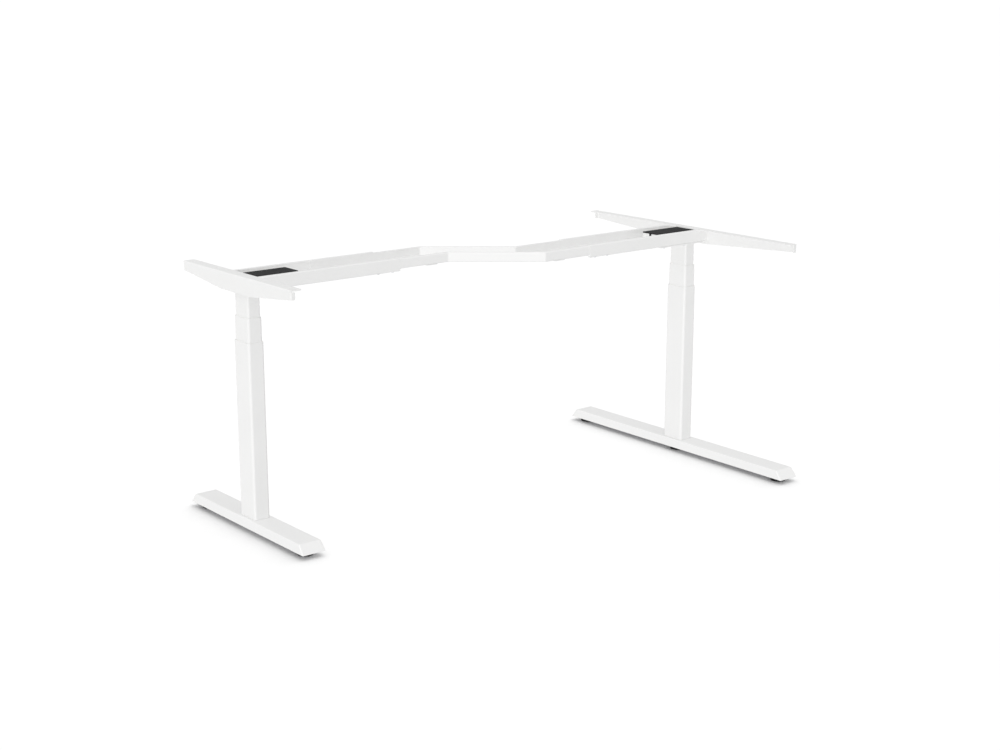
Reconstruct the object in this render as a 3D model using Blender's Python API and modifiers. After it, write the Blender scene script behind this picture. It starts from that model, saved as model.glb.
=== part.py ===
"""Electric height adjustable desk frame with a stepped, telescopic beam.

The frame stands on two T-shaped legs of unlike depth, a short one on the left and a long one on
the right, joined by a beam whose two rails bend forwards between them.  Each leg is a three-stage
column that a motor and a pair of spindles raise.  Units are metres, +Z is up and the front is -Y.
The origin is on the floor, in the middle of the frame.

Leg pieces are modelled once, in the leg's own axes: x runs inboard along the beam, y across it and
z up from the floor.  The left leg uses them as they are, and the right leg is turned by half a turn.
"""

import math

import bmesh
import bpy
from mathutils import Matrix, Vector

# ---- driving dimensions ---------------------------------------------------------------------
GAP = 0.0003                   # clearance between pieces that touch

LEG_SPACING = 1.515            # between the column centres
FRAME_TOP = 0.745              # top of the brackets at the stored height
LEFT_FOOT_LENGTH = 0.616
RIGHT_FOOT_LENGTH = 0.980
DEPTH_STEP = (RIGHT_FOOT_LENGTH - LEFT_FOOT_LENGTH) / 2    # how far back the left column stands

FOOT_WIDTH = 0.0745
FOOT_TOP_WIDTH = 0.0715
FOOT_BOTTOM = 0.0138
FOOT_TOP = 0.0408
FOOT_END_SLOPE = 0.0217
FOOT_WALL = 0.0025
FOOT_FOLD = 0.003              # radius of a foot's folds
FOOT_PLATE_BOTTOM = 0.0150
FOOT_PLATE_TOP = 0.0175
FOOT_PLATE_INSET = 0.008       # from a foot's end to its plate's
FOOT_PLATE_HOLE = 0.0065
SCREW_X = 0.014                # column screws, from the column's middle
SCREW_Y = 0.028
SCREW_HOLE = 0.0045
TAPPED_HOLE = 0.0043
GLIDE_RADIUS = 0.0230
GLIDE_RIM = 0.0070             # height of a pad's upright rim
GLIDE_CHAMFER = 0.0012
GLIDE_NECK_RADIUS = 0.010
GLIDE_SHOULDER = 0.0125
GLIDE_STUD_RADIUS = 0.0040
GLIDE_STUD_TOP = 0.0360
LEFT_GLIDE_INSET = 0.046
RIGHT_GLIDE_INSET = 0.044

TUBE_WALL = 0.0015
OUTER_TUBE = (0.050, 0.080)    # width along the beam, depth across it
MID_TUBE = (0.045, 0.075)
INNER_TUBE = (0.040, 0.070)
OUTER_TUBE_TOP = 0.555
MID_TUBE_BOTTOM = 0.130
MID_TUBE_TOP = 0.625
INNER_TUBE_BOTTOM = 0.215
INNER_TUBE_TOP = 0.7032
OUTER_CORNER = 0.007           # outer corner radii of the three tubes
MID_CORNER = 0.0065
INNER_CORNER = 0.006
BLOCK_CORNER = 0.005           # corner radii of base plate and slide blocks
SMALL_BLOCK_CORNER = 0.0045
MID_BLOCK_BOTTOM = 0.114
MID_BLOCK_HOLE = 0.0120
INNER_BLOCK_BOTTOM = 0.199
INNER_BLOCK_HOLE = (0.032, 0.062, 0.004)    # width, depth, corner radius
BASE_PLATE_THICKNESS = 0.006

SPINDLE_Y = -0.006             # the spindle line stands beside the column's middle, clear of the worm
UPPER_SPINDLE_RADIUS = 0.005
HOLLOW_SPINDLE_RADIUS = 0.008
LOWER_POST_RADIUS = 0.0102
LOWER_POST_TOP = 0.390
LOWER_NUT_RADIUS = 0.0115
MID_POST_RADIUS = 0.014
MID_POST_WALL = 0.002
MID_POST_TOP = 0.4897
NUT_REACH = 0.018              # from a post's top to its nut's
BEARING_BOTTOM = 0.015         # below the middle post's top
BEARING_TOP = 0.003
HOLLOW_SPINDLE_BOTTOM = 0.115
HOLLOW_SPINDLE_INSET = 0.0012  # below the middle post's top
UPPER_SPINDLE_BOTTOM = 0.220
UPPER_SPINDLE_TOP = 0.7300

BEAM_HALF_WIDTH = 0.074
BEAM_HEIGHT = 0.0379
CHANNEL_WALL = 0.002
CHANNEL_LIP = 0.014
CHANNEL_REACH = 0.4687         # inner end of a channel, from its column's middle
RAIL_HEIGHT = 0.0289
RAIL_LIP = 0.012
RAIL_REACH = 0.5075            # outer end of a rail, from the middle of the frame
RAIL_BEND = 0.1125             # where the rails turn, each side of the middle
CROSS_PLATE_X = 0.170
CROSS_PLATE_HALF_WIDTH = 0.020
CROSS_PLATE_THICKNESS = 0.002

BRACKET_FACE = 0.0378          # outer face of a bracket, outboard of its column's middle
BRACKET_WALL = 0.003
BRACKET_FLANGE = 0.0353
BRACKET_END_DEPTH = 0.0265
BRACKET_MIDDLE_DEPTH = 0.050
BRACKET_FLAT = 0.004           # how far its deepest part reaches past the beam
BRACKET_LIP = 0.013
BRACKET_RELIEF = 0.0015        # between the flange and the end lips
BRACKET_HOLE = 0.0035
BRACKET_HOLE_Y = 0.120
BRACKET_HOLE_INSET = 0.035
LEFT_BRACKET_LENGTH = 0.578
RIGHT_BRACKET_LENGTH = 0.898

HEAD_PLATE_X = (-0.024, 0.170)
HEAD_PLATE_NOTCH = (0.085, -0.050)    # where its inboard corner is cut away
HEAD_PLATE_HOLE = 0.009
GEARBOX_SIZE = (0.046, 0.049, 0.0302)
GEARBOX_X = 0.001
GEARBOX_WALL = 0.002
MOTOR_AXIS_Z = 0.7222
MOTOR_SHAFT_RADIUS = 0.003
SHAFT_HOLE = 0.0036
ROTOR_RADIUS = 0.0115
ROTOR_X = (0.036, 0.100)
SHAFT_END = 0.106
WORM_X = (-0.010, 0.012)
WORM_RADIUS = 0.005
WHEEL_RADIUS = 0.0145
WHEEL_HALF_HEIGHT = 0.005
CAN_RADIUS = 0.0145
CAN_BORE = 0.0130
CAN_X = (0.0260, 0.1180)
CAN_FRONT_WALL = 0.0020
CAN_END_WALL = 0.0015
BOX_X = (-0.0270, 0.1450)
BOX_HALF_DEPTH = 0.0352
BOX_WALL = 0.0015
COVER_X = (-0.0285, 0.1465)
COVER_HALF_DEPTH = 0.0358
COVER_TOP = 0.7409
COVER_THICKNESS = 0.0031
CLIP_HALF_WIDTH = 0.004
CLIP_BOTTOM = 0.015            # below the cover's top
CLIP_TOP = 0.0008
CLIP_X = (-0.0012, 0.0006)     # from the cover's inboard end

# ---- sizes worked out from them -------------------------------------------------------------
BEAM_TOP = FRAME_TOP - GAP
BEAM_BOTTOM = FRAME_TOP - BEAM_HEIGHT - GAP
PLATE_TOP = BEAM_BOTTOM - GAP
PLATE_BOTTOM = INNER_TUBE_TOP + GAP
FLANGE_BOTTOM = FRAME_TOP - BRACKET_WALL
FLANGE_EDGE = BRACKET_FACE - BRACKET_FLANGE
COVER_BOTTOM = COVER_TOP - COVER_THICKNESS
MOTOR_AXIS_Y = SPINDLE_Y + WHEEL_RADIUS + WORM_RADIUS + GAP
BASE_PLATE_TOP = FOOT_TOP + GAP + BASE_PLATE_THICKNESS

ROUND_STEPS = 24               # sides of a turned piece
CORNER_STEPS = 3               # straight steps in a tube's corner
FINE_STEPS = 20                # sides of a wider hole
SMOOTH_ANGLE = 32              # degrees, past which an edge is sharp
MERGE = 0.00001                # points nearer than this are one
REACH = 0.01                   # how far a cutter sticks out

MODEL = None
CUTTERS = None


# ---- scene and materials --------------------------------------------------------------------
def clear_scene():
    for item in list(bpy.data.objects):
        bpy.data.objects.remove(item, do_unlink=True)


def new_collection(name):
    collection = bpy.data.collections.new(name)
    bpy.context.scene.collection.children.link(collection)
    return collection


def material(name, colour, roughness, metallic=0.0):
    made = bpy.data.materials.new(name)
    made.use_nodes = True
    shader = made.node_tree.nodes["Principled BSDF"]
    shader.inputs["Base Color"].default_value = (*colour, 1.0)
    shader.inputs["Roughness"].default_value = roughness
    shader.inputs["Metallic"].default_value = metallic
    return made


def white_coat(name):
    return material(name, (0.80, 0.80, 0.79), 0.45)


def black_plastic(name):
    return material(name, (0.03, 0.03, 0.032), 0.5)


def white_plastic(name):
    return material(name, (0.70, 0.70, 0.68), 0.55)


def bare_steel(name):
    return material(name, (0.42, 0.42, 0.43), 0.35, 0.9)


def bronze(name):
    return material(name, (0.55, 0.38, 0.16), 0.4, 0.9)


def black_steel(name):
    return material(name, (0.05, 0.05, 0.055), 0.5, 0.3)


# ---- shape helpers --------------------------------------------------------------------------
def stage(name, location, turned=False, parent=None):
    """An empty that carries the pieces of one rigid stage, on that stage's axis of travel."""
    empty = bpy.data.objects.new(name, None)
    MODEL.objects.link(empty)
    empty.location = location
    empty.parent = parent
    if turned:
        empty.rotation_euler.z = math.pi
    return empty


def link_piece(name, mesh, look, carrier, location=(0, 0, 0)):
    piece = bpy.data.objects.new(name, mesh)
    MODEL.objects.link(piece)
    piece.location = location
    piece.parent = carrier
    mesh.materials.append(look(name + "_finish"))
    mesh.shade_smooth()
    mesh.set_sharp_from_angle(angle=math.radians(SMOOTH_ANGLE))
    return piece


def mesh_from(bm, name):
    mesh = bpy.data.meshes.new(name)
    bm.to_mesh(mesh)
    bm.free()
    return mesh


def block_mesh(name, low, high):
    size = Vector(high) - Vector(low)
    middle = (Vector(high) + Vector(low)) / 2
    bm = bmesh.new()
    bmesh.ops.create_cube(bm, size=1.0, matrix=Matrix.Translation(middle) @ Matrix.Diagonal((*size, 1.0)))
    return mesh_from(bm, name)


def block(name, low, high, look, carrier):
    return link_piece(name, block_mesh(name, low, high), look, carrier)


def rounded_rectangle(width, depth, radius, centre=(0.0, 0.0)):
    points = []
    corners = ((1, 1, 0), (-1, 1, 90), (-1, -1, 180), (1, -1, 270))
    for sign_x, sign_y, start in corners:
        middle_x = centre[0] + sign_x * (width / 2 - radius)
        middle_y = centre[1] + sign_y * (depth / 2 - radius)
        for step in range(CORNER_STEPS + 1):
            angle = math.radians(start + 90 * step / CORNER_STEPS)
            points.append((middle_x + radius * math.cos(angle), middle_y + radius * math.sin(angle)))
    return points


def rectangle(x_low, x_high, y_low, y_high):
    return [(x_high, y_high), (x_low, y_high), (x_low, y_low), (x_high, y_low)]


def circle(radius, centre=(0.0, 0.0), steps=16):
    angles = [2 * math.pi * step / steps for step in range(steps)]
    return [(centre[0] + radius * math.cos(a), centre[1] + radius * math.sin(a)) for a in angles]


def prism(name, loops, z_low, z_high, look, carrier):
    """A flat outline with holes, thickened from z_low to z_high."""
    curve = bpy.data.curves.new(name + "_outline", "CURVE")
    curve.dimensions = "2D"
    curve.fill_mode = "BOTH"
    curve.extrude = (z_high - z_low) / 2
    for loop in loops:
        spline = curve.splines.new("POLY")
        spline.points.add(len(loop) - 1)
        for point, (x, y) in zip(spline.points, loop):
            point.co = (x, y, 0.0, 1.0)
        spline.use_cyclic_u = True
    outline = bpy.data.objects.new(name + "_outline", curve)
    CUTTERS.objects.link(outline)
    bpy.context.view_layer.update()
    solid = outline.evaluated_get(bpy.context.evaluated_depsgraph_get())
    mesh = bpy.data.meshes.new_from_object(solid)
    bpy.data.objects.remove(outline, do_unlink=True)
    bm = bmesh.new()
    bm.from_mesh(mesh)
    bmesh.ops.remove_doubles(bm, verts=bm.verts, dist=MERGE)
    bmesh.ops.translate(bm, verts=bm.verts, vec=(0, 0, (z_high + z_low) / 2))
    bm.to_mesh(mesh)
    bm.free()
    return link_piece(name, mesh, look, carrier)


def turned(name, profile, look, carrier, location, closed=False, lying=False):
    """A profile of (radius, height) pairs, listed down its outer side, turned about its axis."""
    count = len(profile)
    edges = [(i, i + 1) for i in range(count - 1)]
    if closed:
        edges.append((count - 1, 0))
    mesh = bpy.data.meshes.new(name)
    mesh.from_pydata([(radius, 0.0, height) for radius, height in profile], edges, [])
    piece = link_piece(name, mesh, look, carrier, location)
    if lying:
        piece.rotation_euler.y = math.pi / 2
    screw = piece.modifiers.new("Turn", "SCREW")
    screw.steps = ROUND_STEPS
    screw.render_steps = ROUND_STEPS
    screw.use_merge_vertices = True
    screw.merge_threshold = MERGE
    screw.use_smooth_shade = True
    return piece


def ring(name, inner, outer, z_low, z_high, look, carrier, location):
    profile = [(inner, z_high), (outer, z_high), (outer, z_low), (inner, z_low)]
    return turned(name, profile, look, carrier, location, closed=True)


def sheet(stations, outward):
    """An open sheet through rows of points, with its faces turned towards outward."""
    rows = len(stations)
    columns = len(stations[0])
    bm = bmesh.new()
    bmesh.ops.create_grid(bm, x_segments=columns - 1, y_segments=rows - 1, size=1.0)
    bm.verts.ensure_lookup_table()
    for index, vert in enumerate(bm.verts):
        vert.co = stations[index // columns][index % columns]
    bm.normal_update()
    if sum((face.normal.dot(Vector(outward)) for face in bm.faces)) < 0:
        bmesh.ops.reverse_faces(bm, faces=bm.faces)
    return bm


def thicken(piece, wall):
    solid = piece.modifiers.new("Wall", "SOLIDIFY")
    solid.thickness = wall
    solid.offset = -1.0
    solid.use_even_offset = True


def cut(piece, cutter_mesh, carrier, location=(0, 0, 0), lying=False):
    cutter = bpy.data.objects.new(piece.name + "_cutter", cutter_mesh)
    CUTTERS.objects.link(cutter)
    cutter.location = location
    cutter.parent = carrier
    if lying:
        cutter.rotation_euler.y = math.pi / 2
    cutter.hide_render = True
    cutter.display_type = "WIRE"
    boolean = piece.modifiers.new("Cut", "BOOLEAN")
    boolean.operation = "DIFFERENCE"
    boolean.object = cutter


def drill(piece, radius, carrier, location, lying=False):
    bm = bmesh.new()
    bmesh.ops.create_cone(bm, cap_ends=True, segments=16, radius1=radius, radius2=radius, depth=REACH)
    cut(piece, mesh_from(bm, piece.name + "_drill"), carrier, location, lying)


# ---- foot -----------------------------------------------------------------------------------
def screw_places():
    return [(x, y) for x in (-SCREW_X, SCREW_X) for y in (-SCREW_Y, SCREW_Y)]


def foot(side, length, carrier):
    """The folded steel foot: a low box with sloped ends, open underneath."""
    bm = bmesh.new()
    bmesh.ops.create_cube(bm, size=1.0)
    for vert in bm.verts:
        upper = vert.co.z > 0
        width = FOOT_TOP_WIDTH if upper else FOOT_WIDTH
        half = length / 2 - (FOOT_END_SLOPE if upper else 0.0)
        height = FOOT_TOP if upper else FOOT_BOTTOM
        vert.co = (math.copysign(width / 2, vert.co.x), math.copysign(half, vert.co.y), height)
    bm.normal_update()
    under = [face for face in bm.faces if face.normal.z < -0.9]
    bmesh.ops.delete(bm, geom=under, context="FACES_ONLY")
    folds = [edge for edge in bm.edges if not edge.is_boundary]
    bmesh.ops.bevel(bm, geom=folds, offset=FOOT_FOLD, segments=2, profile=0.5, affect="EDGES")
    piece = link_piece(side + "_foot", mesh_from(bm, side + "_foot"), white_coat, carrier)
    thicken(piece, FOOT_WALL)
    below = block_mesh(side + "_foot_trim", (-FOOT_WIDTH, -length, FOOT_BOTTOM - REACH),
                       (FOOT_WIDTH, length, FOOT_BOTTOM))
    cut(piece, below, carrier)
    for x, y in screw_places():
        drill(piece, SCREW_HOLE, carrier, (x, y, FOOT_TOP))


def foot_plate(side, length, glide_places, carrier):
    """The flat plate inside the foot's open underside, threaded for the levelling feet."""
    half_width = FOOT_WIDTH / 2 - FOOT_WALL - 2 * GAP
    half_length = length / 2 - FOOT_PLATE_INSET
    loops = [rectangle(-half_width, half_width, -half_length, half_length)]
    loops += [circle(GLIDE_STUD_RADIUS + GAP, (0.0, y)) for y in glide_places]
    loops += [circle(FOOT_PLATE_HOLE, place) for place in screw_places()]
    prism(side + "_foot_plate", loops, FOOT_PLATE_BOTTOM, FOOT_PLATE_TOP, bare_steel, carrier)


def glide(name, carrier):
    """A levelling foot: a threaded stud with a round pad that stands on the floor."""
    profile = [
        (0.0, GLIDE_STUD_TOP), (GLIDE_STUD_RADIUS, GLIDE_STUD_TOP), (GLIDE_STUD_RADIUS, GLIDE_SHOULDER),
        (GLIDE_NECK_RADIUS, GLIDE_SHOULDER), (GLIDE_RADIUS, GLIDE_RIM), (GLIDE_RADIUS, GLIDE_CHAMFER),
        (GLIDE_RADIUS - GLIDE_CHAMFER, 0.0), (0.0, 0.0),
    ]
    turned(name, profile, black_plastic, carrier, (0, 0, 0))


# ---- column ---------------------------------------------------------------------------------
def tube(name, section, z_low, z_high, radius, carrier):
    """A rounded rectangular tube of the column."""
    width, depth = section
    inner = rounded_rectangle(width - 2 * TUBE_WALL, depth - 2 * TUBE_WALL, radius - TUBE_WALL)
    prism(name, [rounded_rectangle(width, depth, radius), inner], z_low, z_high, white_coat, carrier)


def bore_outline(section, corner):
    """The outline of a block that slides or sits inside a tube."""
    width, depth = (size - 2 * TUBE_WALL - 2 * GAP for size in section)
    return rounded_rectangle(width, depth, corner)


def base_stage(side, carrier):
    """What stands still above the foot: outer tube, its base plate, the lower post and nut."""
    line = (0, SPINDLE_Y, 0)
    tube(side + "_outer_tube", OUTER_TUBE, FOOT_TOP + GAP, OUTER_TUBE_TOP, OUTER_CORNER, carrier)
    loops = [bore_outline(OUTER_TUBE, BLOCK_CORNER)]
    loops += [circle(TAPPED_HOLE, place) for place in screw_places()]
    prism(side + "_column_base_plate", loops, FOOT_TOP + GAP, BASE_PLATE_TOP, bare_steel, carrier)
    ring(side + "_lower_post", HOLLOW_SPINDLE_RADIUS + 2 * GAP, LOWER_POST_RADIUS,
         BASE_PLATE_TOP + GAP, LOWER_POST_TOP, bare_steel, carrier, line)
    ring(side + "_lower_nut", HOLLOW_SPINDLE_RADIUS + GAP, LOWER_NUT_RADIUS,
         LOWER_POST_TOP + GAP, LOWER_POST_TOP + NUT_REACH, bronze, carrier, line)


def mid_stage(side, carrier):
    """The middle tube with the slide block, post, bearing and nut that travel with it."""
    line = (0, SPINDLE_Y, 0)
    bore = MID_POST_RADIUS - MID_POST_WALL
    tube(side + "_mid_tube", MID_TUBE, MID_TUBE_BOTTOM, MID_TUBE_TOP, MID_CORNER, carrier)
    loops = [bore_outline(OUTER_TUBE, BLOCK_CORNER), circle(MID_BLOCK_HOLE, (0.0, SPINDLE_Y), ROUND_STEPS)]
    prism(side + "_mid_slide_block", loops, MID_BLOCK_BOTTOM, MID_TUBE_BOTTOM - GAP, white_plastic, carrier)
    ring(side + "_mid_post", bore, MID_POST_RADIUS, MID_TUBE_BOTTOM, MID_POST_TOP, bare_steel, carrier, line)
    ring(side + "_mid_bearing", HOLLOW_SPINDLE_RADIUS + GAP, bore - GAP,
         MID_POST_TOP - BEARING_BOTTOM, MID_POST_TOP - BEARING_TOP, bare_steel, carrier, line)
    ring(side + "_upper_nut", UPPER_SPINDLE_RADIUS + GAP, MID_POST_RADIUS,
         MID_POST_TOP + GAP, MID_POST_TOP + NUT_REACH, bronze, carrier, line)


def hollow_spindle(side, carrier):
    ring(side + "_hollow_spindle", UPPER_SPINDLE_RADIUS + 2 * GAP, HOLLOW_SPINDLE_RADIUS,
         HOLLOW_SPINDLE_BOTTOM, MID_POST_TOP - HOLLOW_SPINDLE_INSET, bare_steel, carrier, (0, 0, 0))


def upper_spindle(side, carrier):
    """The driven spindle and the worm wheel that is keyed to it."""
    profile = [(0.0, UPPER_SPINDLE_TOP), (UPPER_SPINDLE_RADIUS, UPPER_SPINDLE_TOP),
               (UPPER_SPINDLE_RADIUS, UPPER_SPINDLE_BOTTOM), (0.0, UPPER_SPINDLE_BOTTOM)]
    turned(side + "_upper_spindle", profile, bare_steel, carrier, (0, 0, 0))
    ring(side + "_worm_wheel", UPPER_SPINDLE_RADIUS + GAP, WHEEL_RADIUS,
         MOTOR_AXIS_Z - WHEEL_HALF_HEIGHT, MOTOR_AXIS_Z + WHEEL_HALF_HEIGHT, bronze, carrier, (0, 0, 0))


# ---- column head ----------------------------------------------------------------------------
def inner_column(side, carrier):
    tube(side + "_inner_tube", INNER_TUBE, INNER_TUBE_BOTTOM, INNER_TUBE_TOP, INNER_CORNER, carrier)
    loops = [bore_outline(MID_TUBE, SMALL_BLOCK_CORNER), rounded_rectangle(*INNER_BLOCK_HOLE)]
    prism(side + "_inner_slide_block", loops, INNER_BLOCK_BOTTOM, INNER_TUBE_BOTTOM - GAP,
          white_plastic, carrier)


def head_plate(side, carrier):
    """The plate under the beam that joins column, gearbox and channels, one corner cut away."""
    (x_low, x_high), (notch_x, notch_y), edge = HEAD_PLATE_X, HEAD_PLATE_NOTCH, BEAM_HALF_WIDTH - GAP
    outline = [(x_high, edge), (x_low, edge), (x_low, -edge), (notch_x, -edge),
               (notch_x, notch_y), (x_high, notch_y)]
    hole = circle(HEAD_PLATE_HOLE, (0.0, SPINDLE_Y), FINE_STEPS)
    prism(side + "_head_plate", [outline, hole], PLATE_BOTTOM, PLATE_TOP, white_coat, carrier)


def gearbox(side, carrier):
    """The gearbox housing: a cast box that is open on its underside, over the worm and wheel."""
    bm = bmesh.new()
    size = Vector(GEARBOX_SIZE)
    middle = Vector((GEARBOX_X, 0.0, PLATE_TOP + GAP + size.z / 2))
    bmesh.ops.create_cube(bm, size=1.0, matrix=Matrix.Translation(middle) @ Matrix.Diagonal((*size, 1.0)))
    bm.normal_update()
    under = [face for face in bm.faces if face.normal.z < -0.9]
    bmesh.ops.delete(bm, geom=under, context="FACES_ONLY")
    mesh = mesh_from(bm, side + "_gearbox_housing")
    piece = link_piece(side + "_gearbox_housing", mesh, black_steel, carrier)
    thicken(piece, GEARBOX_WALL)
    wall_x = GEARBOX_X + size.x / 2 - GEARBOX_WALL / 2
    drill(piece, SHAFT_HOLE, carrier, (wall_x, MOTOR_AXIS_Y, MOTOR_AXIS_Z), lying=True)


def motor(side, carrier):
    """The motor's steel can, and its rotor with the shaft and worm, both along the beam."""
    place = (0.0, MOTOR_AXIS_Y, MOTOR_AXIS_Z)
    rotor = [
        (0.0, SHAFT_END), (MOTOR_SHAFT_RADIUS, SHAFT_END), (MOTOR_SHAFT_RADIUS, ROTOR_X[1]),
        (ROTOR_RADIUS, ROTOR_X[1]), (ROTOR_RADIUS, ROTOR_X[0]), (MOTOR_SHAFT_RADIUS, ROTOR_X[0]),
        (MOTOR_SHAFT_RADIUS, WORM_X[1]), (WORM_RADIUS, WORM_X[1]), (WORM_RADIUS, WORM_X[0]), (0.0, WORM_X[0]),
    ]
    can = [
        (0.0, CAN_X[1]), (CAN_RADIUS, CAN_X[1]), (CAN_RADIUS, CAN_X[0]), (SHAFT_HOLE, CAN_X[0]),
        (SHAFT_HOLE, CAN_X[0] + CAN_FRONT_WALL), (CAN_BORE, CAN_X[0] + CAN_FRONT_WALL),
        (CAN_BORE, CAN_X[1] - CAN_END_WALL), (0.0, CAN_X[1] - CAN_END_WALL),
    ]
    turned(side + "_motor_rotor", rotor, bare_steel, carrier, place, lying=True)
    turned(side + "_motor_can", can, bare_steel, carrier, place, lying=True)


def motor_box(side, carrier):
    """The walls around motor and gearbox, and the flat cover that closes them on top."""
    (x_low, x_high), depth, wall = BOX_X, BOX_HALF_DEPTH, BOX_WALL
    loops = [rectangle(x_low, x_high, -depth, depth),
             rectangle(x_low + wall, x_high - wall, -depth + wall, depth - wall)]
    prism(side + "_motor_box", loops, PLATE_TOP + GAP, COVER_BOTTOM - GAP, white_coat, carrier)
    cover = block(side + "_motor_cover", (COVER_X[0], -COVER_HALF_DEPTH, COVER_BOTTOM),
                  (COVER_X[1], COVER_HALF_DEPTH, COVER_TOP), black_plastic, carrier)
    clip = block_mesh(side + "_cover_clip",
                      (COVER_X[1] + CLIP_X[0], -CLIP_HALF_WIDTH, COVER_TOP - CLIP_BOTTOM),
                      (COVER_X[1] + CLIP_X[1], CLIP_HALF_WIDTH, COVER_TOP - CLIP_TOP))
    cut(cover, clip, carrier)
    cover.modifiers["Cut"].operation = "UNION"


def side_bracket(side, length, carrier):
    """The wing that carries a worktop: a tapering web with a flange turned in at its top."""
    flat = BEAM_HALF_WIDTH + BRACKET_FLAT
    web_top = FRAME_TOP - BRACKET_WALL - BRACKET_RELIEF
    stations = []
    for y, depth in ((-length / 2, BRACKET_END_DEPTH), (-flat, BRACKET_MIDDLE_DEPTH),
                     (flat, BRACKET_MIDDLE_DEPTH), (length / 2, BRACKET_END_DEPTH)):
        stations.append([
            Vector((-FLANGE_EDGE, y, FRAME_TOP)), Vector((-BRACKET_FACE, y, FRAME_TOP)),
            Vector((-BRACKET_FACE, y, web_top)), Vector((-BRACKET_FACE, y, FRAME_TOP - depth)),
        ])
    bm = sheet(stations, (-1, 0, 1))
    for end in (-1, 1):
        lips = [edge for edge in bm.edges if edge.is_boundary and is_web_end(edge, end * length / 2, web_top)]
        made = bmesh.ops.extrude_edge_only(bm, edges=lips)
        fresh = [item for item in made["geom"] if isinstance(item, bmesh.types.BMVert)]
        bmesh.ops.translate(bm, verts=fresh, vec=(BRACKET_LIP, 0, 0))
    piece = link_piece(side + "_side_bracket", mesh_from(bm, side + "_side_bracket"), white_coat, carrier)
    thicken(piece, BRACKET_WALL)
    middle = -(FLANGE_EDGE + BRACKET_FACE) / 2
    outer = length / 2 - BRACKET_HOLE_INSET
    for y in (-outer, -BRACKET_HOLE_Y, BRACKET_HOLE_Y, outer):
        drill(piece, BRACKET_HOLE, carrier, (middle, y, FRAME_TOP))


def is_web_end(edge, y, web_top):
    return all(abs(vert.co.y - y) < MERGE and vert.co.z < web_top + MERGE for vert in edge.verts)


# ---- beam -----------------------------------------------------------------------------------
def c_section(name, stations, facing, half_width, z_low, z_high, lip, wall, carrier):
    """A C-shaped rail through (x, y) stations, its flat side towards facing (-1 front, 1 back)."""
    rows = []
    for x, y in stations:
        face = y + facing * half_width
        edge = face - facing * lip
        rows.append([
            Vector((x, edge, z_high)), Vector((x, face, z_high)),
            Vector((x, face, z_low)), Vector((x, edge, z_low)),
        ])
    bm = sheet(rows, (0, facing, 0))
    piece = link_piece(name, mesh_from(bm, name), white_coat, carrier)
    thicken(piece, wall)
    return piece


def channels(side, carrier):
    """The front and back channels that the rails slide in."""
    stations = [(-BRACKET_FACE + BRACKET_WALL + GAP, 0.0), (CHANNEL_REACH, 0.0)]
    for word, facing in (("front", -1), ("back", 1)):
        # The right leg is turned round, so its local front is the frame's back.
        local = facing if side == "left" else -facing
        piece = c_section(f"{side}_{word}_channel", stations, local, BEAM_HALF_WIDTH,
                          BEAM_BOTTOM, BEAM_TOP, CHANNEL_LIP, CHANNEL_WALL, carrier)
        notch = block_mesh(piece.name + "_notch",
                           (-BRACKET_FACE - REACH, -BEAM_HALF_WIDTH - REACH, FLANGE_BOTTOM - GAP),
                           (-FLANGE_EDGE + GAP, BEAM_HALF_WIDTH + REACH, FRAME_TOP + REACH))
        cut(piece, notch, carrier)


def middle_rails(carrier):
    """The two bent rails and the cross plates between them."""
    stations = [(-RAIL_REACH, DEPTH_STEP), (-RAIL_BEND, DEPTH_STEP), (RAIL_BEND, 0.0), (RAIL_REACH, 0.0)]
    half_width = BEAM_HALF_WIDTH - CHANNEL_WALL - 2 * GAP
    z_high = BEAM_TOP - CHANNEL_WALL - GAP
    z_low = z_high - RAIL_HEIGHT
    for word, facing in (("front", -1), ("back", 1)):
        c_section(word + "_rail", stations, facing, half_width, z_low, z_high,
                  RAIL_LIP, CHANNEL_WALL, carrier)
    for side, middle, y in (("left", -CROSS_PLATE_X, DEPTH_STEP), ("right", CROSS_PLATE_X, 0.0)):
        block(side + "_cross_plate",
              (middle - CROSS_PLATE_HALF_WIDTH, y - half_width + GAP, z_low - GAP - CROSS_PLATE_THICKNESS),
              (middle + CROSS_PLATE_HALF_WIDTH, y + half_width - GAP, z_low - GAP), white_coat, carrier)


# ---- whole frame ----------------------------------------------------------------------------
def leg(side, x, y, foot_length, bracket_length, glides):
    """One whole leg with its end of the beam, each moving stage under its own empty."""
    turned_round = side == "right"
    place = (x, y, 0.0)
    base = stage(side + "_base_axis", place, turned_round)
    foot(side, foot_length, base)
    foot_plate(side, foot_length, [spot for _, spot in glides], base)
    base_stage(side, base)
    for word, spot in glides:
        glide(f"{side}_{word}_glide", stage(f"{side}_{word}_glide_axis", (0, spot, 0), parent=base))

    mid = stage(side + "_mid_axis", place, turned_round)
    mid_stage(side, mid)
    hollow_spindle(side, stage(side + "_hollow_spindle_axis", (0, SPINDLE_Y, 0), parent=mid))

    head = stage(side + "_head_axis", place, turned_round)
    inner_column(side, head)
    head_plate(side, head)
    gearbox(side, head)
    motor(side, head)
    motor_box(side, head)
    side_bracket(side, bracket_length, head)
    channels(side, head)
    upper_spindle(side, stage(side + "_upper_spindle_axis", (0, SPINDLE_Y, 0), parent=head))


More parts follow.
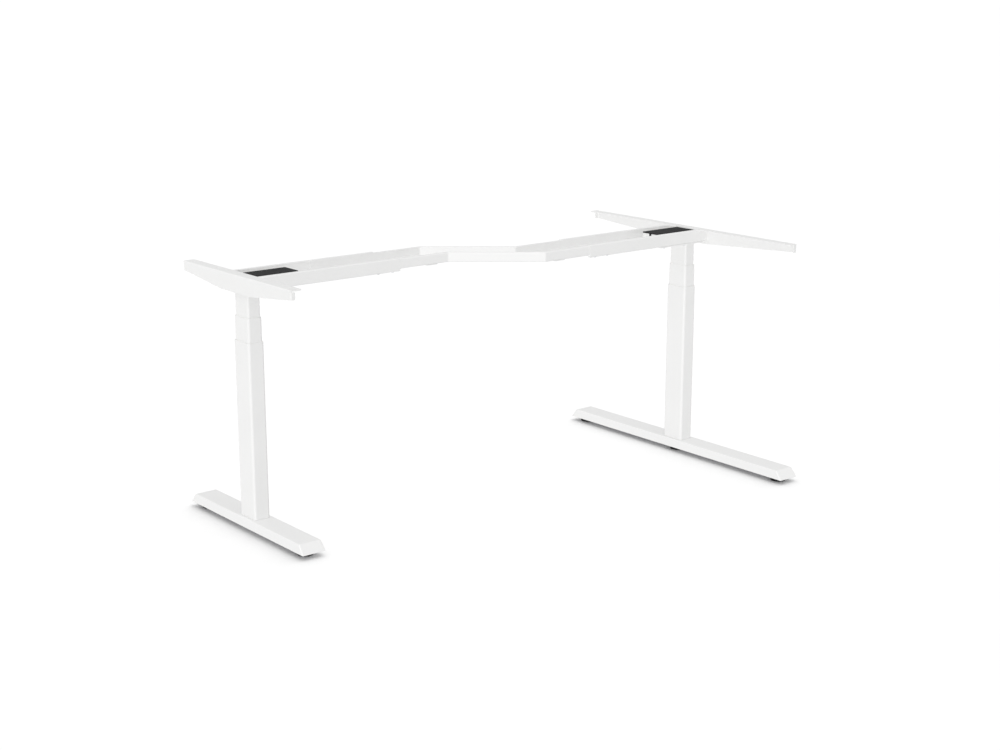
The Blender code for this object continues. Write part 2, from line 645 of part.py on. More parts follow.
def build():
    global MODEL, CUTTERS
    clear_scene()
    MODEL = new_collection("standing_desk_frame")
    CUTTERS = new_collection("cutters")
    left_end = LEFT_FOOT_LENGTH / 2 - LEFT_GLIDE_INSET
    right_end = RIGHT_FOOT_LENGTH / 2 - RIGHT_GLIDE_INSET
    leg("left", -LEG_SPACING / 2, DEPTH_STEP, LEFT_FOOT_LENGTH, LEFT_BRACKET_LENGTH,
        (("front", -left_end), ("back", left_end)))
    leg("right", LEG_SPACING / 2, 0.0, RIGHT_FOOT_LENGTH, RIGHT_BRACKET_LENGTH,
        (("front", right_end), ("middle", 0.0), ("back", -right_end)))
    middle_rails(stage("rails_axis", (0, 0, 0)))


build()
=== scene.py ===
"""Looks of an electric height adjustable desk frame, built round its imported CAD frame.

Two T-shaped legs of unlike depth carry a beam of two rails that bend forwards between them.
Pieces of a leg are made in the leg's own axes: x runs inboard along the beam, y across it and z up
from the floor.  The left leg uses them as they are and the right leg is turned by half a turn.
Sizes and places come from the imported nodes' own boxes wherever a node has them.
"""

import logging
import math
from collections.abc import Callable, Sequence
from dataclasses import dataclass, field
from enum import Enum
from functools import cache

import bmesh
import bpy
from bmesh.types import BMEdge, BMFace, BMVert
from mathutils import Matrix, Vector


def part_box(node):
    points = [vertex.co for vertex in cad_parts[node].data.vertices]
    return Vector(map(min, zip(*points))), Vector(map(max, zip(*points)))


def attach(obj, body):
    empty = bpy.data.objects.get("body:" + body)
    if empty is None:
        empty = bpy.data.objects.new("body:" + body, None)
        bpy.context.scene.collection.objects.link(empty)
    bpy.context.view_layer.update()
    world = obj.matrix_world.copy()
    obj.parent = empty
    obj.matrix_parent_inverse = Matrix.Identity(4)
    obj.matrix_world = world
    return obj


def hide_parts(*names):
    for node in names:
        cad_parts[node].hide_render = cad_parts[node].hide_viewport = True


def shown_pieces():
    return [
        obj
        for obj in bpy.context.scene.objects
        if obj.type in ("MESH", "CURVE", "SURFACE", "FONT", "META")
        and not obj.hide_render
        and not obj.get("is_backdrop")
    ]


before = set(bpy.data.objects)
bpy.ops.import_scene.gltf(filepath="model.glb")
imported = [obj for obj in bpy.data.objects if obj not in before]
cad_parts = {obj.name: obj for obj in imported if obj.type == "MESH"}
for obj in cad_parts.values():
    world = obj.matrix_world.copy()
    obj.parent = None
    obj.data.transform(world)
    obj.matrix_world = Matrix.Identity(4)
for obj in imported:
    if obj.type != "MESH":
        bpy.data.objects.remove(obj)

LOG = logging.getLogger("desk_frame")

GAP = 0.0003        # clearance between pieces that touch
HAIR = 0.0001       # sets back a face that would lie in another's plane
TINY = 0.00001      # two points nearer than this are one
QUARTER = math.pi / 2
FULL = 2 * math.pi
SHARP_ANGLE = math.radians(32)      # edges that turn more than this are shaded sharp
BEVEL_ANGLE = math.radians(40)      # and more than this are broken by a bevel

Flat = tuple[float, float]
Point = tuple[float, float, float]


class Slot(Enum):
    """The record's material slots."""

    COAT = "white_powder_coat"
    BLACK_PLASTIC = "black_plastic"
    BLACK_STEEL = "black_steel"
    SLIDE_PLASTIC = "white_plastic"
    STEEL = "bare_steel"
    BRONZE = "bronze"


class Side(Enum):
    """One of the two legs."""

    LEFT = "left"
    RIGHT = "right"

    @property
    def centre(self) -> Vector:
        """The column's middle, on the floor."""
        low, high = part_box(f"{self.value}_outer_tube")
        return Vector(((low.x + high.x) / 2, (low.y + high.y) / 2, 0.0))

    @property
    def place(self) -> Matrix:
        """The leg's own axes in the frame's."""
        turn = math.pi if self is Side.RIGHT else 0.0
        return Matrix.Translation(self.centre) @ Matrix.Rotation(turn, 4, "Z")

    def box(self, node: str) -> tuple[Vector, Vector]:
        """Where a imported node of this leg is, in the leg's own axes.

        Args:
            node: The node's name without the side.

        Returns:
            The lowest and the highest corner.
        """
        back = self.place.inverted()
        ends = [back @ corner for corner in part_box(f"{self.value}_{node}")]
        return Vector(map(min, *ends)), Vector(map(max, *ends))


# ---- finishes -------------------------------------------------------------------------------
class NodeBench:
    """A material in the making, with its Principled shader and the object's own coordinates."""

    def __init__(self, name: str) -> None:
        """Start a material.

        Args:
            name: The material's name.
        """
        self.material = bpy.data.materials.new(name)
        self.material.use_nodes = True
        self.tree = self.material.node_tree
        self.shader = self.tree.nodes["Principled BSDF"]
        self.place = self.tree.nodes.new("ShaderNodeTexCoord").outputs["Object"]

    def node(self, kind: str, settings: dict | None = None, **sockets: object) -> bpy.types.Node:
        """Add a node.

        Args:
            kind: The node's type, without "ShaderNode".
            settings: Its properties.
            sockets: Its inputs by name, underscores for spaces: a value, or a socket to link.

        Returns:
            The new node.
        """
        made = self.tree.nodes.new("ShaderNode" + kind)
        for key, value in (settings or {}).items():
            setattr(made, key, value)
        for key, value in sockets.items():
            self.feed(made.inputs[key.replace("_", " ")], value)
        return made

    def feed(self, socket: bpy.types.NodeSocket, value: object) -> None:
        """Link a socket, or set its value.

        Args:
            socket: The input.
            value: An output socket to link, or a plain value.
        """
        if isinstance(value, bpy.types.NodeSocket):
            self.tree.links.new(value, socket)
        else:
            socket.default_value = value

    def noise(self, scale: float, detail: float = 2.0,
              stretch: Point = (1.0, 1.0, 1.0)) -> bpy.types.NodeSocket:
        """A noise pattern over the piece.

        Args:
            scale: Patches in a metre.
            detail: Finer octaves.
            stretch: How much denser the pattern is along each axis.

        Returns:
            The noise factor's socket.
        """
        spread = self.node("Mapping", Vector=self.place, Scale=stretch)
        pattern = self.node("TexNoise", Vector=spread.outputs["Vector"], Scale=scale, Detail=detail)
        return pattern.outputs["Fac"]

    def between(self, pattern: bpy.types.NodeSocket, low: float, high: float,
                start: float = 0.35, end: float = 0.65) -> bpy.types.NodeSocket:
        """A pattern spread between two values.

        Args:
            pattern: The factor that drives it.
            low: Value where the pattern is low.
            high: Value where the pattern is high.
            start: The factor that counts as low.
            end: The factor that counts as high.

        Returns:
            The value's socket.
        """
        spread = self.node("MapRange", Value=pattern)
        for key, value in (("From Min", start), ("From Max", end), ("To Min", low), ("To Max", high)):
            spread.inputs[key].default_value = value
        return spread.outputs["Result"]

    def mottle(self, pattern: bpy.types.NodeSocket, dark: Point, light: Point) -> None:
        """Vary the base colour.

        Args:
            pattern: The factor that drives it.
            dark: Colour where the pattern is low.
            light: Colour where the pattern is high.
        """
        ramp = self.node("ValToRGB", Fac=pattern)
        ramp.color_ramp.elements[0].position = 0.3
        ramp.color_ramp.elements[1].position = 0.7
        ramp.color_ramp.elements[0].color = (*dark, 1.0)
        ramp.color_ramp.elements[1].color = (*light, 1.0)
        self.feed(self.shader.inputs["Base Color"], ramp.outputs["Color"])

    def relief(self, pattern: bpy.types.NodeSocket, depth: float, strength: float = 1.0) -> None:
        """Raise the surface by a pattern, on top of any relief it has.

        Args:
            pattern: The height, from 0 to 1.
            depth: Metres from lowest to highest.
            strength: How much of it shows.
        """
        bump = self.node("Bump", Height=pattern, Distance=depth, Strength=strength)
        before = self.shader.inputs["Normal"].links
        if before:
            self.feed(bump.inputs["Normal"], before[0].from_socket)
        self.feed(self.shader.inputs["Normal"], bump.outputs["Normal"])


@dataclass(frozen=True)
class Finish:
    """A surface finish. Each kind dresses the material in its own way."""

    name: str
    slot: Slot

    def dress(self, bench: NodeBench) -> None:
        """Build the finish's nodes.

        Args:
            bench: The material in the making.
        """
        raise NotImplementedError

    @cache
    def material(self) -> bpy.types.Material:
        """The finish's material, made once."""
        bench = NodeBench(self.name)
        self.dress(bench)
        return bench.material


@dataclass(frozen=True)
class PowderCoat(Finish):
    """Baked powder coat: a satin skin with a fine orange peel and faint clouds of tone."""

    tone: Point = (0.800, 0.800, 0.796)
    cloud: float = 0.985
    gloss: Flat = (0.40, 0.50)
    peel_scale: float = 900.0
    peel_depth: float = 0.00002
    finer: float = 4.0
    cloud_scale: float = 9.0
    gloss_scale: float = 260.0
    shine: float = 0.35

    def dress(self, bench: NodeBench) -> None:
        """Build the finish's nodes.

        Args:
            bench: The material in the making.
        """
        dark = tuple(channel * self.cloud for channel in self.tone)
        bench.mottle(bench.noise(self.cloud_scale, 3.0), dark, self.tone)
        sheen = bench.between(bench.noise(self.gloss_scale), *self.gloss)
        bench.feed(bench.shader.inputs["Roughness"], sheen)
        bench.relief(bench.noise(self.peel_scale, 1.0), self.peel_depth, 0.6)
        bench.relief(bench.noise(self.peel_scale * self.finer, 2.0), self.peel_depth / self.finer, 0.5)
        bench.shader.inputs["Specular IOR Level"].default_value = self.shine


@dataclass(frozen=True)
class MouldedPlastic(Finish):
    """Moulded plastic with a spark-eroded grain."""

    tone: Point = (0.020, 0.020, 0.021)
    gloss: Flat = (0.60, 0.74)
    shine: float = 0.10
    grain_scale: float = 1700.0
    grain_depth: float = 0.00003
    shade: float = 0.8
    cloud_scale: float = 40.0
    gloss_scale: float = 300.0

    def dress(self, bench: NodeBench) -> None:
        """Build the finish's nodes.

        Args:
            bench: The material in the making.
        """
        dark = tuple(channel * self.shade for channel in self.tone)
        bench.mottle(bench.noise(self.cloud_scale, 4.0), dark, self.tone)
        sheen = bench.between(bench.noise(self.gloss_scale), *self.gloss)
        bench.feed(bench.shader.inputs["Roughness"], sheen)
        cells = bench.node("TexVoronoi", Vector=bench.place, Scale=self.grain_scale)
        bench.relief(cells.outputs["Distance"], self.grain_depth, 0.5)
        bench.shader.inputs["Specular IOR Level"].default_value = self.shine


@dataclass(frozen=True)
class SlidePlastic(Finish):
    """Natural, waxy slide plastic with drawing marks along its travel."""

    tone: Point = (0.74, 0.74, 0.70)
    shade: float = 0.93
    cloud_scale: float = 60.0
    gloss: Flat = (0.35, 0.55)
    streak: Point = (1.0, 1.0, 0.05)
    streak_scale: float = 500.0
    streak_depth: float = 0.00002
    glow_through: float = 0.1
    glow_depth: float = 0.002

    def dress(self, bench: NodeBench) -> None:
        """Build the finish's nodes.

        Args:
            bench: The material in the making.
        """
        dark = tuple(channel * self.shade for channel in self.tone)
        bench.mottle(bench.noise(self.cloud_scale, 3.0), dark, self.tone)
        streaks = bench.noise(self.streak_scale, 2.0, self.streak)
        bench.feed(bench.shader.inputs["Roughness"], bench.between(streaks, *self.gloss))
        bench.relief(streaks, self.streak_depth, 0.5)
        bench.shader.inputs["Subsurface Weight"].default_value = self.glow_through
        bench.shader.inputs["Subsurface Scale"].default_value = self.glow_depth


@dataclass(frozen=True)
class Metal(Finish):
    """Bare or plated metal with the marks of its making along one axis."""

    tone: Point
    shade: Point
    gloss: Flat = (0.25, 0.42)
    marks: Point = (1.0, 1.0, 14.0)
    marks_scale: float = 160.0
    marks_depth: float = 0.00001
    metallic: float = 1.0
    cloud_scale: float = 70.0

    def dress(self, bench: NodeBench) -> None:
        """Build the finish's nodes.

        Args:
            bench: The material in the making.
        """
        bench.mottle(bench.noise(self.cloud_scale, 4.0), self.shade, self.tone)
        lines = bench.noise(self.marks_scale, 3.0, self.marks)
        bench.feed(bench.shader.inputs["Roughness"], bench.between(lines, *self.gloss))
        bench.relief(lines, self.marks_depth, 0.6)
        bench.shader.inputs["Metallic"].default_value = self.metallic


@dataclass(frozen=True)
class CastBlack(Finish):
    """Black coated casting or plate: a dull, slightly rough skin."""

    tone: Point = (0.022, 0.022, 0.024)
    shade: float = 0.7
    cloud_scale: float = 35.0
    gloss: Flat = (0.45, 0.62)
    pit_scale: float = 700.0
    pit_depth: float = 0.00005

    def dress(self, bench: NodeBench) -> None:
        """Build the finish's nodes.

        Args:
            bench: The material in the making.
        """
        dark = tuple(channel * self.shade for channel in self.tone)
        bench.mottle(bench.noise(self.cloud_scale, 5.0), dark, self.tone)
        pits = bench.noise(self.pit_scale, 3.0)
        bench.feed(bench.shader.inputs["Roughness"], bench.between(pits, *self.gloss))
        bench.relief(pits, self.pit_depth, 0.6)


WHITE_COAT = PowderCoat("satin_white_coat", Slot.COAT)
COVER_PLASTIC = MouldedPlastic("black_cover_plastic", Slot.BLACK_PLASTIC)
PAD_PLASTIC = MouldedPlastic("black_pad_plastic", Slot.BLACK_PLASTIC, (0.016, 0.016, 0.017), (0.62, 0.78),
                           grain_scale=2300.0)
GUIDE_PLASTIC = SlidePlastic("white_guide_plastic", Slot.SLIDE_PLASTIC)
BLACK_COAT = CastBlack("black_coated_steel", Slot.BLACK_STEEL)
TURNED_STEEL = Metal("turned_steel", Slot.STEEL, (0.50, 0.50, 0.51), (0.40, 0.40, 0.41))
LYING_STEEL = Metal("turned_steel_lying", Slot.STEEL, (0.50, 0.50, 0.51), (0.40, 0.40, 0.41),
                    marks=(14.0, 1.0, 1.0))
ROLLED_STEEL = Metal("rolled_steel", Slot.STEEL, (0.42, 0.42, 0.43), (0.33, 0.33, 0.34), (0.35, 0.5),
                     (6.0, 0.6, 6.0), 220.0)
ZINC_PLATE = Metal("zinc_plated_steel", Slot.STEEL, (0.62, 0.63, 0.66), (0.52, 0.53, 0.55), (0.28, 0.4),
                   (1.0, 1.0, 1.0), 900.0)
TURNED_BRONZE = Metal("turned_bronze", Slot.BRONZE, (0.60, 0.42, 0.20), (0.48, 0.32, 0.14))


# ---- pieces in the making --------------------------------------------------------------------
class Workpiece:
    """A mesh in the making. Each shape is made on its own and then joined with the others."""

    def __init__(self) -> None:
        """Start with nothing."""
        self.bm = bmesh.new()

    def join(self, *others: "Workpiece") -> "Workpiece":
        """Join other workpieces to this one.

        Args:
            others: The workpieces, which are used up.

        Returns:
            This workpiece.
        """
        for other in others:
            mesh = bpy.data.meshes.new("joined")
            other.bm.to_mesh(mesh)
            other.bm.free()
            self.bm.from_mesh(mesh)
            bpy.data.meshes.remove(mesh)
        return self

    def move(self, matrix: Matrix) -> "Workpiece":
        """Move the workpiece.

        Args:
            matrix: Where it goes.

        Returns:
            This workpiece.
        """
        bmesh.ops.transform(self.bm, matrix=matrix, verts=self.bm.verts)
        if matrix.determinant() < 0:
            bmesh.ops.reverse_faces(self.bm, faces=self.bm.faces)
        return self

    def everything(self) -> list[BMVert | BMEdge | BMFace]:
        """All of its points, edges and faces."""
        return [*self.bm.verts, *self.bm.edges, *self.bm.faces]

    def weld_up(self) -> "Workpiece":
        """Merge points that meet and turn the faces outwards."""
        bmesh.ops.remove_doubles(self.bm, verts=self.bm.verts, dist=TINY / 2)
        bmesh.ops.recalc_face_normals(self.bm, faces=self.bm.faces)
        return self

    def open_edges(self) -> list[BMEdge]:
        """Its edges that have only one face."""
        return [edge for edge in self.bm.edges if edge.is_boundary]

    def open_points(self) -> set[BMVert]:
        """The points of its open edges."""
        return {vert for edge in self.open_edges() for vert in edge.verts}

    def spokes(self, sides: int, reach: float) -> list[tuple[int, BMVert]]:
        """Its points that lie beyond a radius, each with the side of the round that it is on.

        Args:
            sides: Sides in a full turn.
            reach: The radius.

        Returns:
            The number of the side, and the point.
        """
        return [(round(math.atan2(vert.co.y, vert.co.x) / FULL * sides), vert)
                for vert in self.bm.verts if vert.co.to_2d().length > reach]

    def pull(self, verts: Sequence[BMVert], across: float, along: float | None = None) -> None:
        """Draw points in towards the z axis, or out from it.

        Args:
            verts: The points.
            across: The factor along x.
            along: The factor along y, the same as along x if it is left out.
        """
        factors = (across, across if along is None else along, 1.0)
        bmesh.ops.scale(self.bm, verts=verts, vec=factors)


# ---- outlines that a plate or a sheet is cut to ----------------------------------------------
def round_outline(radius: float, centre: Sequence[float] = (0.0, 0.0), steps: int = 24,
                  stretch: float = 0.0) -> Workpiece:
    """A round outline, or a slot when it is stretched along x.

    Args:
        radius: Its radius.
        centre: Its middle.
        steps: Sides round it.
        stretch: How much longer than wide it is.

    Returns:
        The outline, without a face.
    """
    work = Workpiece()
    bmesh.ops.create_circle(work.bm, cap_ends=False, segments=steps, radius=radius)
    for vert in work.bm.verts:
        if abs(vert.co.x) > TINY:
            vert.co.x += math.copysign(stretch / 2, vert.co.x)
    return work.move(Matrix.Translation((centre[0], centre[1], 0.0)))


def box_outline(low: Sequence[float], high: Sequence[float], radius: float, shrink: float = 0.0,
                steps: int = 8) -> Workpiece:
    """A rectangle with rounded corners.

    Args:
        low: Its lowest corner.
        high: Its highest corner.
        radius: Corner radius before it is drawn in.
        shrink: How far every side is drawn in.
        steps: Sides round a corner.

    Returns:
        The outline, without a face.
    """
    size = (high[0] - low[0] - 2 * shrink, high[1] - low[1] - 2 * shrink, 1.0)
    work = Workpiece()
    bmesh.ops.create_grid(work.bm, x_segments=1, y_segments=1, size=0.5)
    bmesh.ops.scale(work.bm, verts=work.bm.verts, vec=size)
    bmesh.ops.bevel(work.bm, geom=work.bm.verts, offset=max(radius - shrink, 0.0004), segments=steps,
                    profile=0.5, affect="VERTICES", material=-1)
    bmesh.ops.delete(work.bm, geom=work.bm.faces, context="FACES_ONLY")
    return work.move(Matrix.Translation(((low[0] + high[0]) / 2, (low[1] + high[1]) / 2, 0.0)))


def traced_outline(corners: Sequence[Flat]) -> Workpiece:
    """An outline through corner points.

    Args:
        corners: The points in order.

    Returns:
        The outline, without a face.
    """
    work = Workpiece()
    verts = [work.bm.verts.new((x, y, 0.0)) for x, y in corners]
    for index, vert in enumerate(verts):
        work.bm.edges.new((vert, verts[index - 1]))
    return work


def filled(outlines: Sequence[Workpiece]) -> Workpiece:
    """A flat face with holes, its outer skin upwards.

    Args:
        outlines: Its outer outline, then its holes, which are used up.

    Returns:
        The flat face at z = 0.
    """
    work = Workpiece().join(*outlines)
    bmesh.ops.triangle_fill(work.bm, use_beauty=True, edges=work.bm.edges, normal=(0, 0, 1))
    bmesh.ops.recalc_face_normals(work.bm, faces=work.bm.faces)
    if sum(face.normal.z for face in work.bm.faces) < 0:
        bmesh.ops.reverse_faces(work.bm, faces=work.bm.faces)
    return work


# ---- shapes ----------------------------------------------------------------------------------
def block(low: Point, high: Point, edge: float = 0.0004, steps: int = 2) -> Workpiece:
    """A block with softened edges.

    Args:
        low: Its lowest corner.
        high: Its highest corner.
        edge: Radius of its edges.
        steps: Faces across an edge.

    Returns:
        The block.
    """
    work = Workpiece()
    size, middle = Vector(high) - Vector(low), (Vector(high) + Vector(low)) / 2
    matrix = Matrix.Translation(middle) @ Matrix.Diagonal((*size, 1.0))
    bmesh.ops.create_cube(work.bm, size=1.0, matrix=matrix)
    bmesh.ops.bevel(work.bm, geom=work.bm.edges, offset=edge, segments=steps, profile=0.5,
                    affect="EDGES", material=-1)
    return work


def plate(outlines: Sequence[Workpiece], low: float, high: float) -> Workpiece:
    """A flat plate: the first outline with the others cut out of it.

    Args:
        outlines: Its outer outline, then its holes.
        low: Height of its underside.
        high: Height of its top.

    Returns:
        The plate.
    """
    work = filled(outlines)
    raised = bmesh.ops.extrude_face_region(work.bm, geom=work.bm.faces)["geom"]
    upper = [item for item in raised if isinstance(item, BMVert)]
    bmesh.ops.translate(work.bm, verts=upper, vec=(0.0, 0.0, high - low))
    return work.move(Matrix.Translation((0.0, 0.0, low))).weld_up()


def turned(profile: Sequence[Flat], steps: int = 48, closed: bool = False) -> Workpiece:
    """A piece turned on a lathe, about the z axis.

    Args:
        profile: Its (radius, height) points in order.
        steps: Sides round the piece.
        closed: Whether the profile is a ring that joins up with itself.

    Returns:
        The turned piece.
    """
    work = Workpiece()
    verts = [work.bm.verts.new((radius, 0.0, height)) for radius, height in profile]
    for pair in list(zip(verts, verts[1:])) + ([(verts[-1], verts[0])] if closed else []):
        work.bm.edges.new(pair)
    bmesh.ops.spin(work.bm, geom=work.everything(), cent=(0, 0, 0), axis=(0, 0, 1), dvec=(0, 0, 0),
                   angle=FULL, steps=steps, use_merge=True, use_duplicate=False)
    return work.weld_up()


def ring(inner: float, outer: float, low: float, high: float, chamfer: float = 0.0005) -> Workpiece:
    """A turned ring with its outer edges broken.

    Args:
        inner: Bore radius.
        outer: Outer radius.
        low: Height of its underside.
        high: Height of its top.
        chamfer: Size of the broken edges.

    Returns:
        The ring.
    """
    return turned([(inner, low), (outer - chamfer, low), (outer, low + chamfer),
                   (outer, high - chamfer), (outer - chamfer, high), (inner, high)], closed=True)


def threaded(root: float, crest: float, pitch: float, low: float, high: float,
             bore: float = 0.0, steps: int = 16) -> Workpiece:
    """A threaded rod or sleeve about the z axis.

    Args:
        root: Radius at the bottom of the thread.
        crest: Radius at its top.
        pitch: Rise in one turn.
        low: Lower end.
        high: Upper end.
        bore: Radius of the bore, none for a rod.
        steps: Sides round the thread.

    Returns:
        The rod or sleeve, closed at both ends.
    """
    work = Workpiece()
    turns = math.ceil((high - low) / pitch) + 3
    shape = [(root, 0.0), (root, 0.25), (crest, 0.38), (crest, 0.62), (root, 0.75), (root, 1.0)]
    verts = [work.bm.verts.new((radius, 0.0, low + pitch * (share - 1.5))) for radius, share in shape]
    for pair in zip(verts, verts[1:]):
        work.bm.edges.new(pair)
    bmesh.ops.spin(work.bm, geom=work.everything(), cent=(0, 0, 0), axis=(0, 0, 1),
                   dvec=(0, 0, pitch / steps), angle=FULL, steps=steps,
                   use_merge=False, use_duplicate=False)
    turn = work.everything()
    for index in range(1, turns):
        copied = bmesh.ops.duplicate(work.bm, geom=turn)["geom"]
        bmesh.ops.translate(work.bm, verts=[item for item in copied if isinstance(item, BMVert)],
                            vec=(0, 0, pitch * index))
    bmesh.ops.remove_doubles(work.bm, verts=work.bm.verts, dist=TINY / 2)
    for height, upwards in ((low, -1), (high, 1)):
        bmesh.ops.bisect_plane(work.bm, geom=work.everything(), dist=TINY / 10,
                               plane_co=(0, 0, height), plane_no=(0, 0, upwards), clear_outer=True)
    bores = []
    for height in (low, high):
        rim = [edge for edge in work.open_edges() if all(abs(v.co.z - height) < TINY for v in edge.verts)]
        if bore:
            made = bmesh.ops.create_circle(work.bm, cap_ends=False, segments=24, radius=bore,
                                           matrix=Matrix.Translation((0, 0, height)))["verts"]
            hole = list({edge for vert in made for edge in vert.link_edges})
            bores += hole
            bmesh.ops.triangle_fill(work.bm, use_beauty=True, edges=rim + hole, normal=(0, 0, 1))
        else:
            bmesh.ops.holes_fill(work.bm, edges=rim, sides=0)
    if bore:
        bmesh.ops.bridge_loops(work.bm, edges=bores)
    return work.weld_up()


class Sheet(Workpiece):
    """A sheet-metal part in the making: cut out flat, folded down, then given its wall.

    The flat blank lies in the plane z = 0 with its outer skin upwards.
    """

    def __init__(self, wall: float, radius: float) -> None:
        """Start a blank.

        Args:
            wall: Thickness of the metal.
            radius: Outer radius of its folds.
        """
        super().__init__()
        self.wall = wall
        self.radius = radius

    @property
    def arc(self) -> float:
        """Length of the skin round a square fold."""
        return self.radius * QUARTER

    def cut_out(self, outlines: Sequence[Workpiece]) -> None:
        """Cut the blank.

        Args:
            outlines: Its outer outline, then its holes.
        """
        self.join(filled(outlines))

    def score(self, direction: Flat, distance: float) -> None:
        """Cut the blank's faces along a line, so that it can bend there.

        Args:
            direction: Square to the line.
            distance: How far out along that direction the line is.
        """
        across = Vector((*direction, 0.0))
        bmesh.ops.bisect_plane(self.bm, geom=self.everything(), dist=TINY,
                               plane_co=across * distance, plane_no=across)

    def fold(self, direction: Flat, distance: float, angle: float = QUARTER, steps: int = 6,
             where: Callable[[Vector], bool] = lambda spot: True) -> None:
        """Fold down what lies beyond a line.

        Args:
            direction: From the middle of the blank towards the part that folds.
            distance: How far out the fold starts.
            angle: How far it folds.
            steps: Faces round the fold.
            where: Says which points may move.
        """
        across = Vector((*direction, 0.0))
        lines = [distance + self.radius * angle * (step + 0.5) / steps for step in range(steps)]
        for line in lines:
            self.score(direction, line)
        turn = Matrix.Rotation(angle / steps, 3, Vector((0, 0, 1)).cross(across))
        for line in reversed(lines):
            beyond = [v for v in self.bm.verts if v.co.dot(across) > line + TINY and where(v.co)]
            bmesh.ops.rotate(self.bm, cent=across * line, matrix=turn, verts=beyond)

    def give_wall(self) -> None:
        """Turn the skin into metal of the wall's thickness, on the skin's inner side."""
        bmesh.ops.remove_doubles(self.bm, verts=self.bm.verts, dist=TINY / 2)
        self.bm.normal_update()
        bmesh.ops.solidify(self.bm, geom=self.everything(), thickness=self.wall)


def sheet_place(along: Point, upwards: Point, middle: Point) -> Matrix:
    """Where a blank goes.

    Args:
        along: Direction of the blank's x axis.
        upwards: Direction of its y axis.
        middle: Where its origin goes.

    Returns:
        The matrix from the blank's axes.
    """
    first, second = Vector(along), Vector(upwards)
    axes = Matrix((first, second, first.cross(second))).transposed()
    return Matrix.Translation(middle) @ axes.to_4x4()


@dataclass
class Maker:
    """Turns workpieces into finished pieces of the desk frame and keeps count of them."""

    place: Matrix
    prefix: str = ""
    made: list[bpy.types.Object] = field(default_factory=list)

    def finish(self, work: Workpiece, name: str, body: str, finish: Finish,
               replaced: Sequence[str] = (), rim: float = 0.0003) -> bpy.types.Object:
        """Make a piece, dress it and hang it on its body.

        Args:
            work: The mesh in the making, in this maker's axes.
            name: The piece's name, without the side.
            body: The body it rides on, without the side.
            finish: Its finish.
            replaced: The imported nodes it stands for, without the side.
            rim: Width of the bevel that breaks its sharp edges, or 0.

        Returns:
            The piece.
        """
        bmesh.ops.transform(work.bm, matrix=self.place, verts=work.bm.verts)
        mesh = bpy.data.meshes.new(self.prefix + name)
        work.bm.to_mesh(mesh)
        work.bm.free()
        mesh.materials.append(finish.material())
        mesh.shade_smooth()
        mesh.set_sharp_from_angle(angle=SHARP_ANGLE)
        piece = bpy.data.objects.new(self.prefix + name, mesh)
        bpy.context.scene.collection.objects.link(piece)
        if rim:
            self.break_edges(piece, rim)
        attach(piece, self.prefix + body)
        if replaced:
            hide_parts(*[self.prefix + node for node in replaced])
        self.made.append(piece)
        LOG.info("%s: %d faces, on %s", piece.name, len(mesh.polygons), self.prefix + body)
        return piece

    def break_edges(self, piece: bpy.types.Object, width: float) -> None:
        """Break a piece's sharp edges and keep its flats flat.

        Args:
            piece: The piece.
            width: Width of the bevel.
        """
        bevel = piece.modifiers.new("Edges", "BEVEL")
        bevel.width = width
        bevel.segments = 2
        bevel.limit_method = "ANGLE"
        bevel.angle_limit = BEVEL_ANGLE
        bevel.material = -1
        normals = piece.modifiers.new("Flats", "WEIGHTED_NORMAL")
        normals.keep_sharp = True
        normals.weight = 80


# ---- fasteners -------------------------------------------------------------------------------
class Head(Enum):
    """The head of a screw."""

    CAP = "cap"
    BUTTON = "button"


@dataclass(frozen=True)
class Screw:
    """A screw with a hexagon socket. It points down and the underside of its head is at z = 0."""

    thread: float
    length: float
    head: Head = Head.BUTTON
    head_radius: float = 0.005
    head_height: float = 0.0025
    steps: int = 24
    tip: float = 0.0006
    rounding: float = 0.0005
    flats: float = 0.87

    def profile(self) -> list[Flat]:
        """The screw's (radius, height) points, from its tip up to the rim of its socket."""
        shank = [(0.0, -self.length), (self.thread - self.tip, -self.length),
                 (self.thread, -self.length + self.tip)]
        wide, high, socket = self.head_radius, self.head_height, self.head_radius * 0.5
        if self.head is Head.CAP:
            return shank + [(self.thread, 0.0), (wide - 2 * HAIR, 0.0), (wide, 2 * HAIR),
                            (wide, high - self.rounding), (wide - self.rounding, high), (socket, high)]
        return shank + [(self.thread, 0.0), (wide, 0.0), (wide, high * 0.2), (wide * 0.92, high * 0.55),
                        (wide * 0.76, high * 0.84), (wide * 0.6, high), (socket, high)]

    def cut(self, place: Matrix) -> Workpiece:
        """Make the screw.

        Args:
            place: Where the screw goes, from its own axes.

        Returns:
            The screw.
        """
        profile = self.profile()
        work = turned(profile, self.steps)
        top = profile[-1][1]
        for vert in work.open_points():
            angle = math.atan2(vert.co.y, vert.co.x) % (FULL / 6) - FULL / 12
            work.pull([vert], self.flats / math.cos(angle))
        bmesh.ops.extrude_edge_only(work.bm, edges=work.open_edges())
        for vert in work.open_points():
            vert.co.z = top - self.head_height * 0.6
        bmesh.ops.edgeloop_fill(work.bm, edges=work.open_edges())
        return work.weld_up().move(place)


COLUMN_SCREW = Screw(thread=0.0039, length=0.0085, head=Head.CAP, head_radius=0.0060, head_height=0.0042)
PLATE_BOLT = Screw(thread=0.0030, length=0.0095, head_radius=0.0052, head_height=0.0026)
CLAMP_SCREW = Screw(thread=0.0030, length=0.0019, head_radius=0.0050, head_height=0.0018)


def facing(spot: Sequence[float], upwards: bool) -> Matrix:
    """Where a screw goes.

    Args:
        spot: The middle of its head's seat.
        upwards: Whether its head is at the top.

    Returns:
        The matrix from the screw's own axes.
    """
    return Matrix.Translation(spot) @ Matrix.Rotation(0.0 if upwards else math.pi, 4, "X")


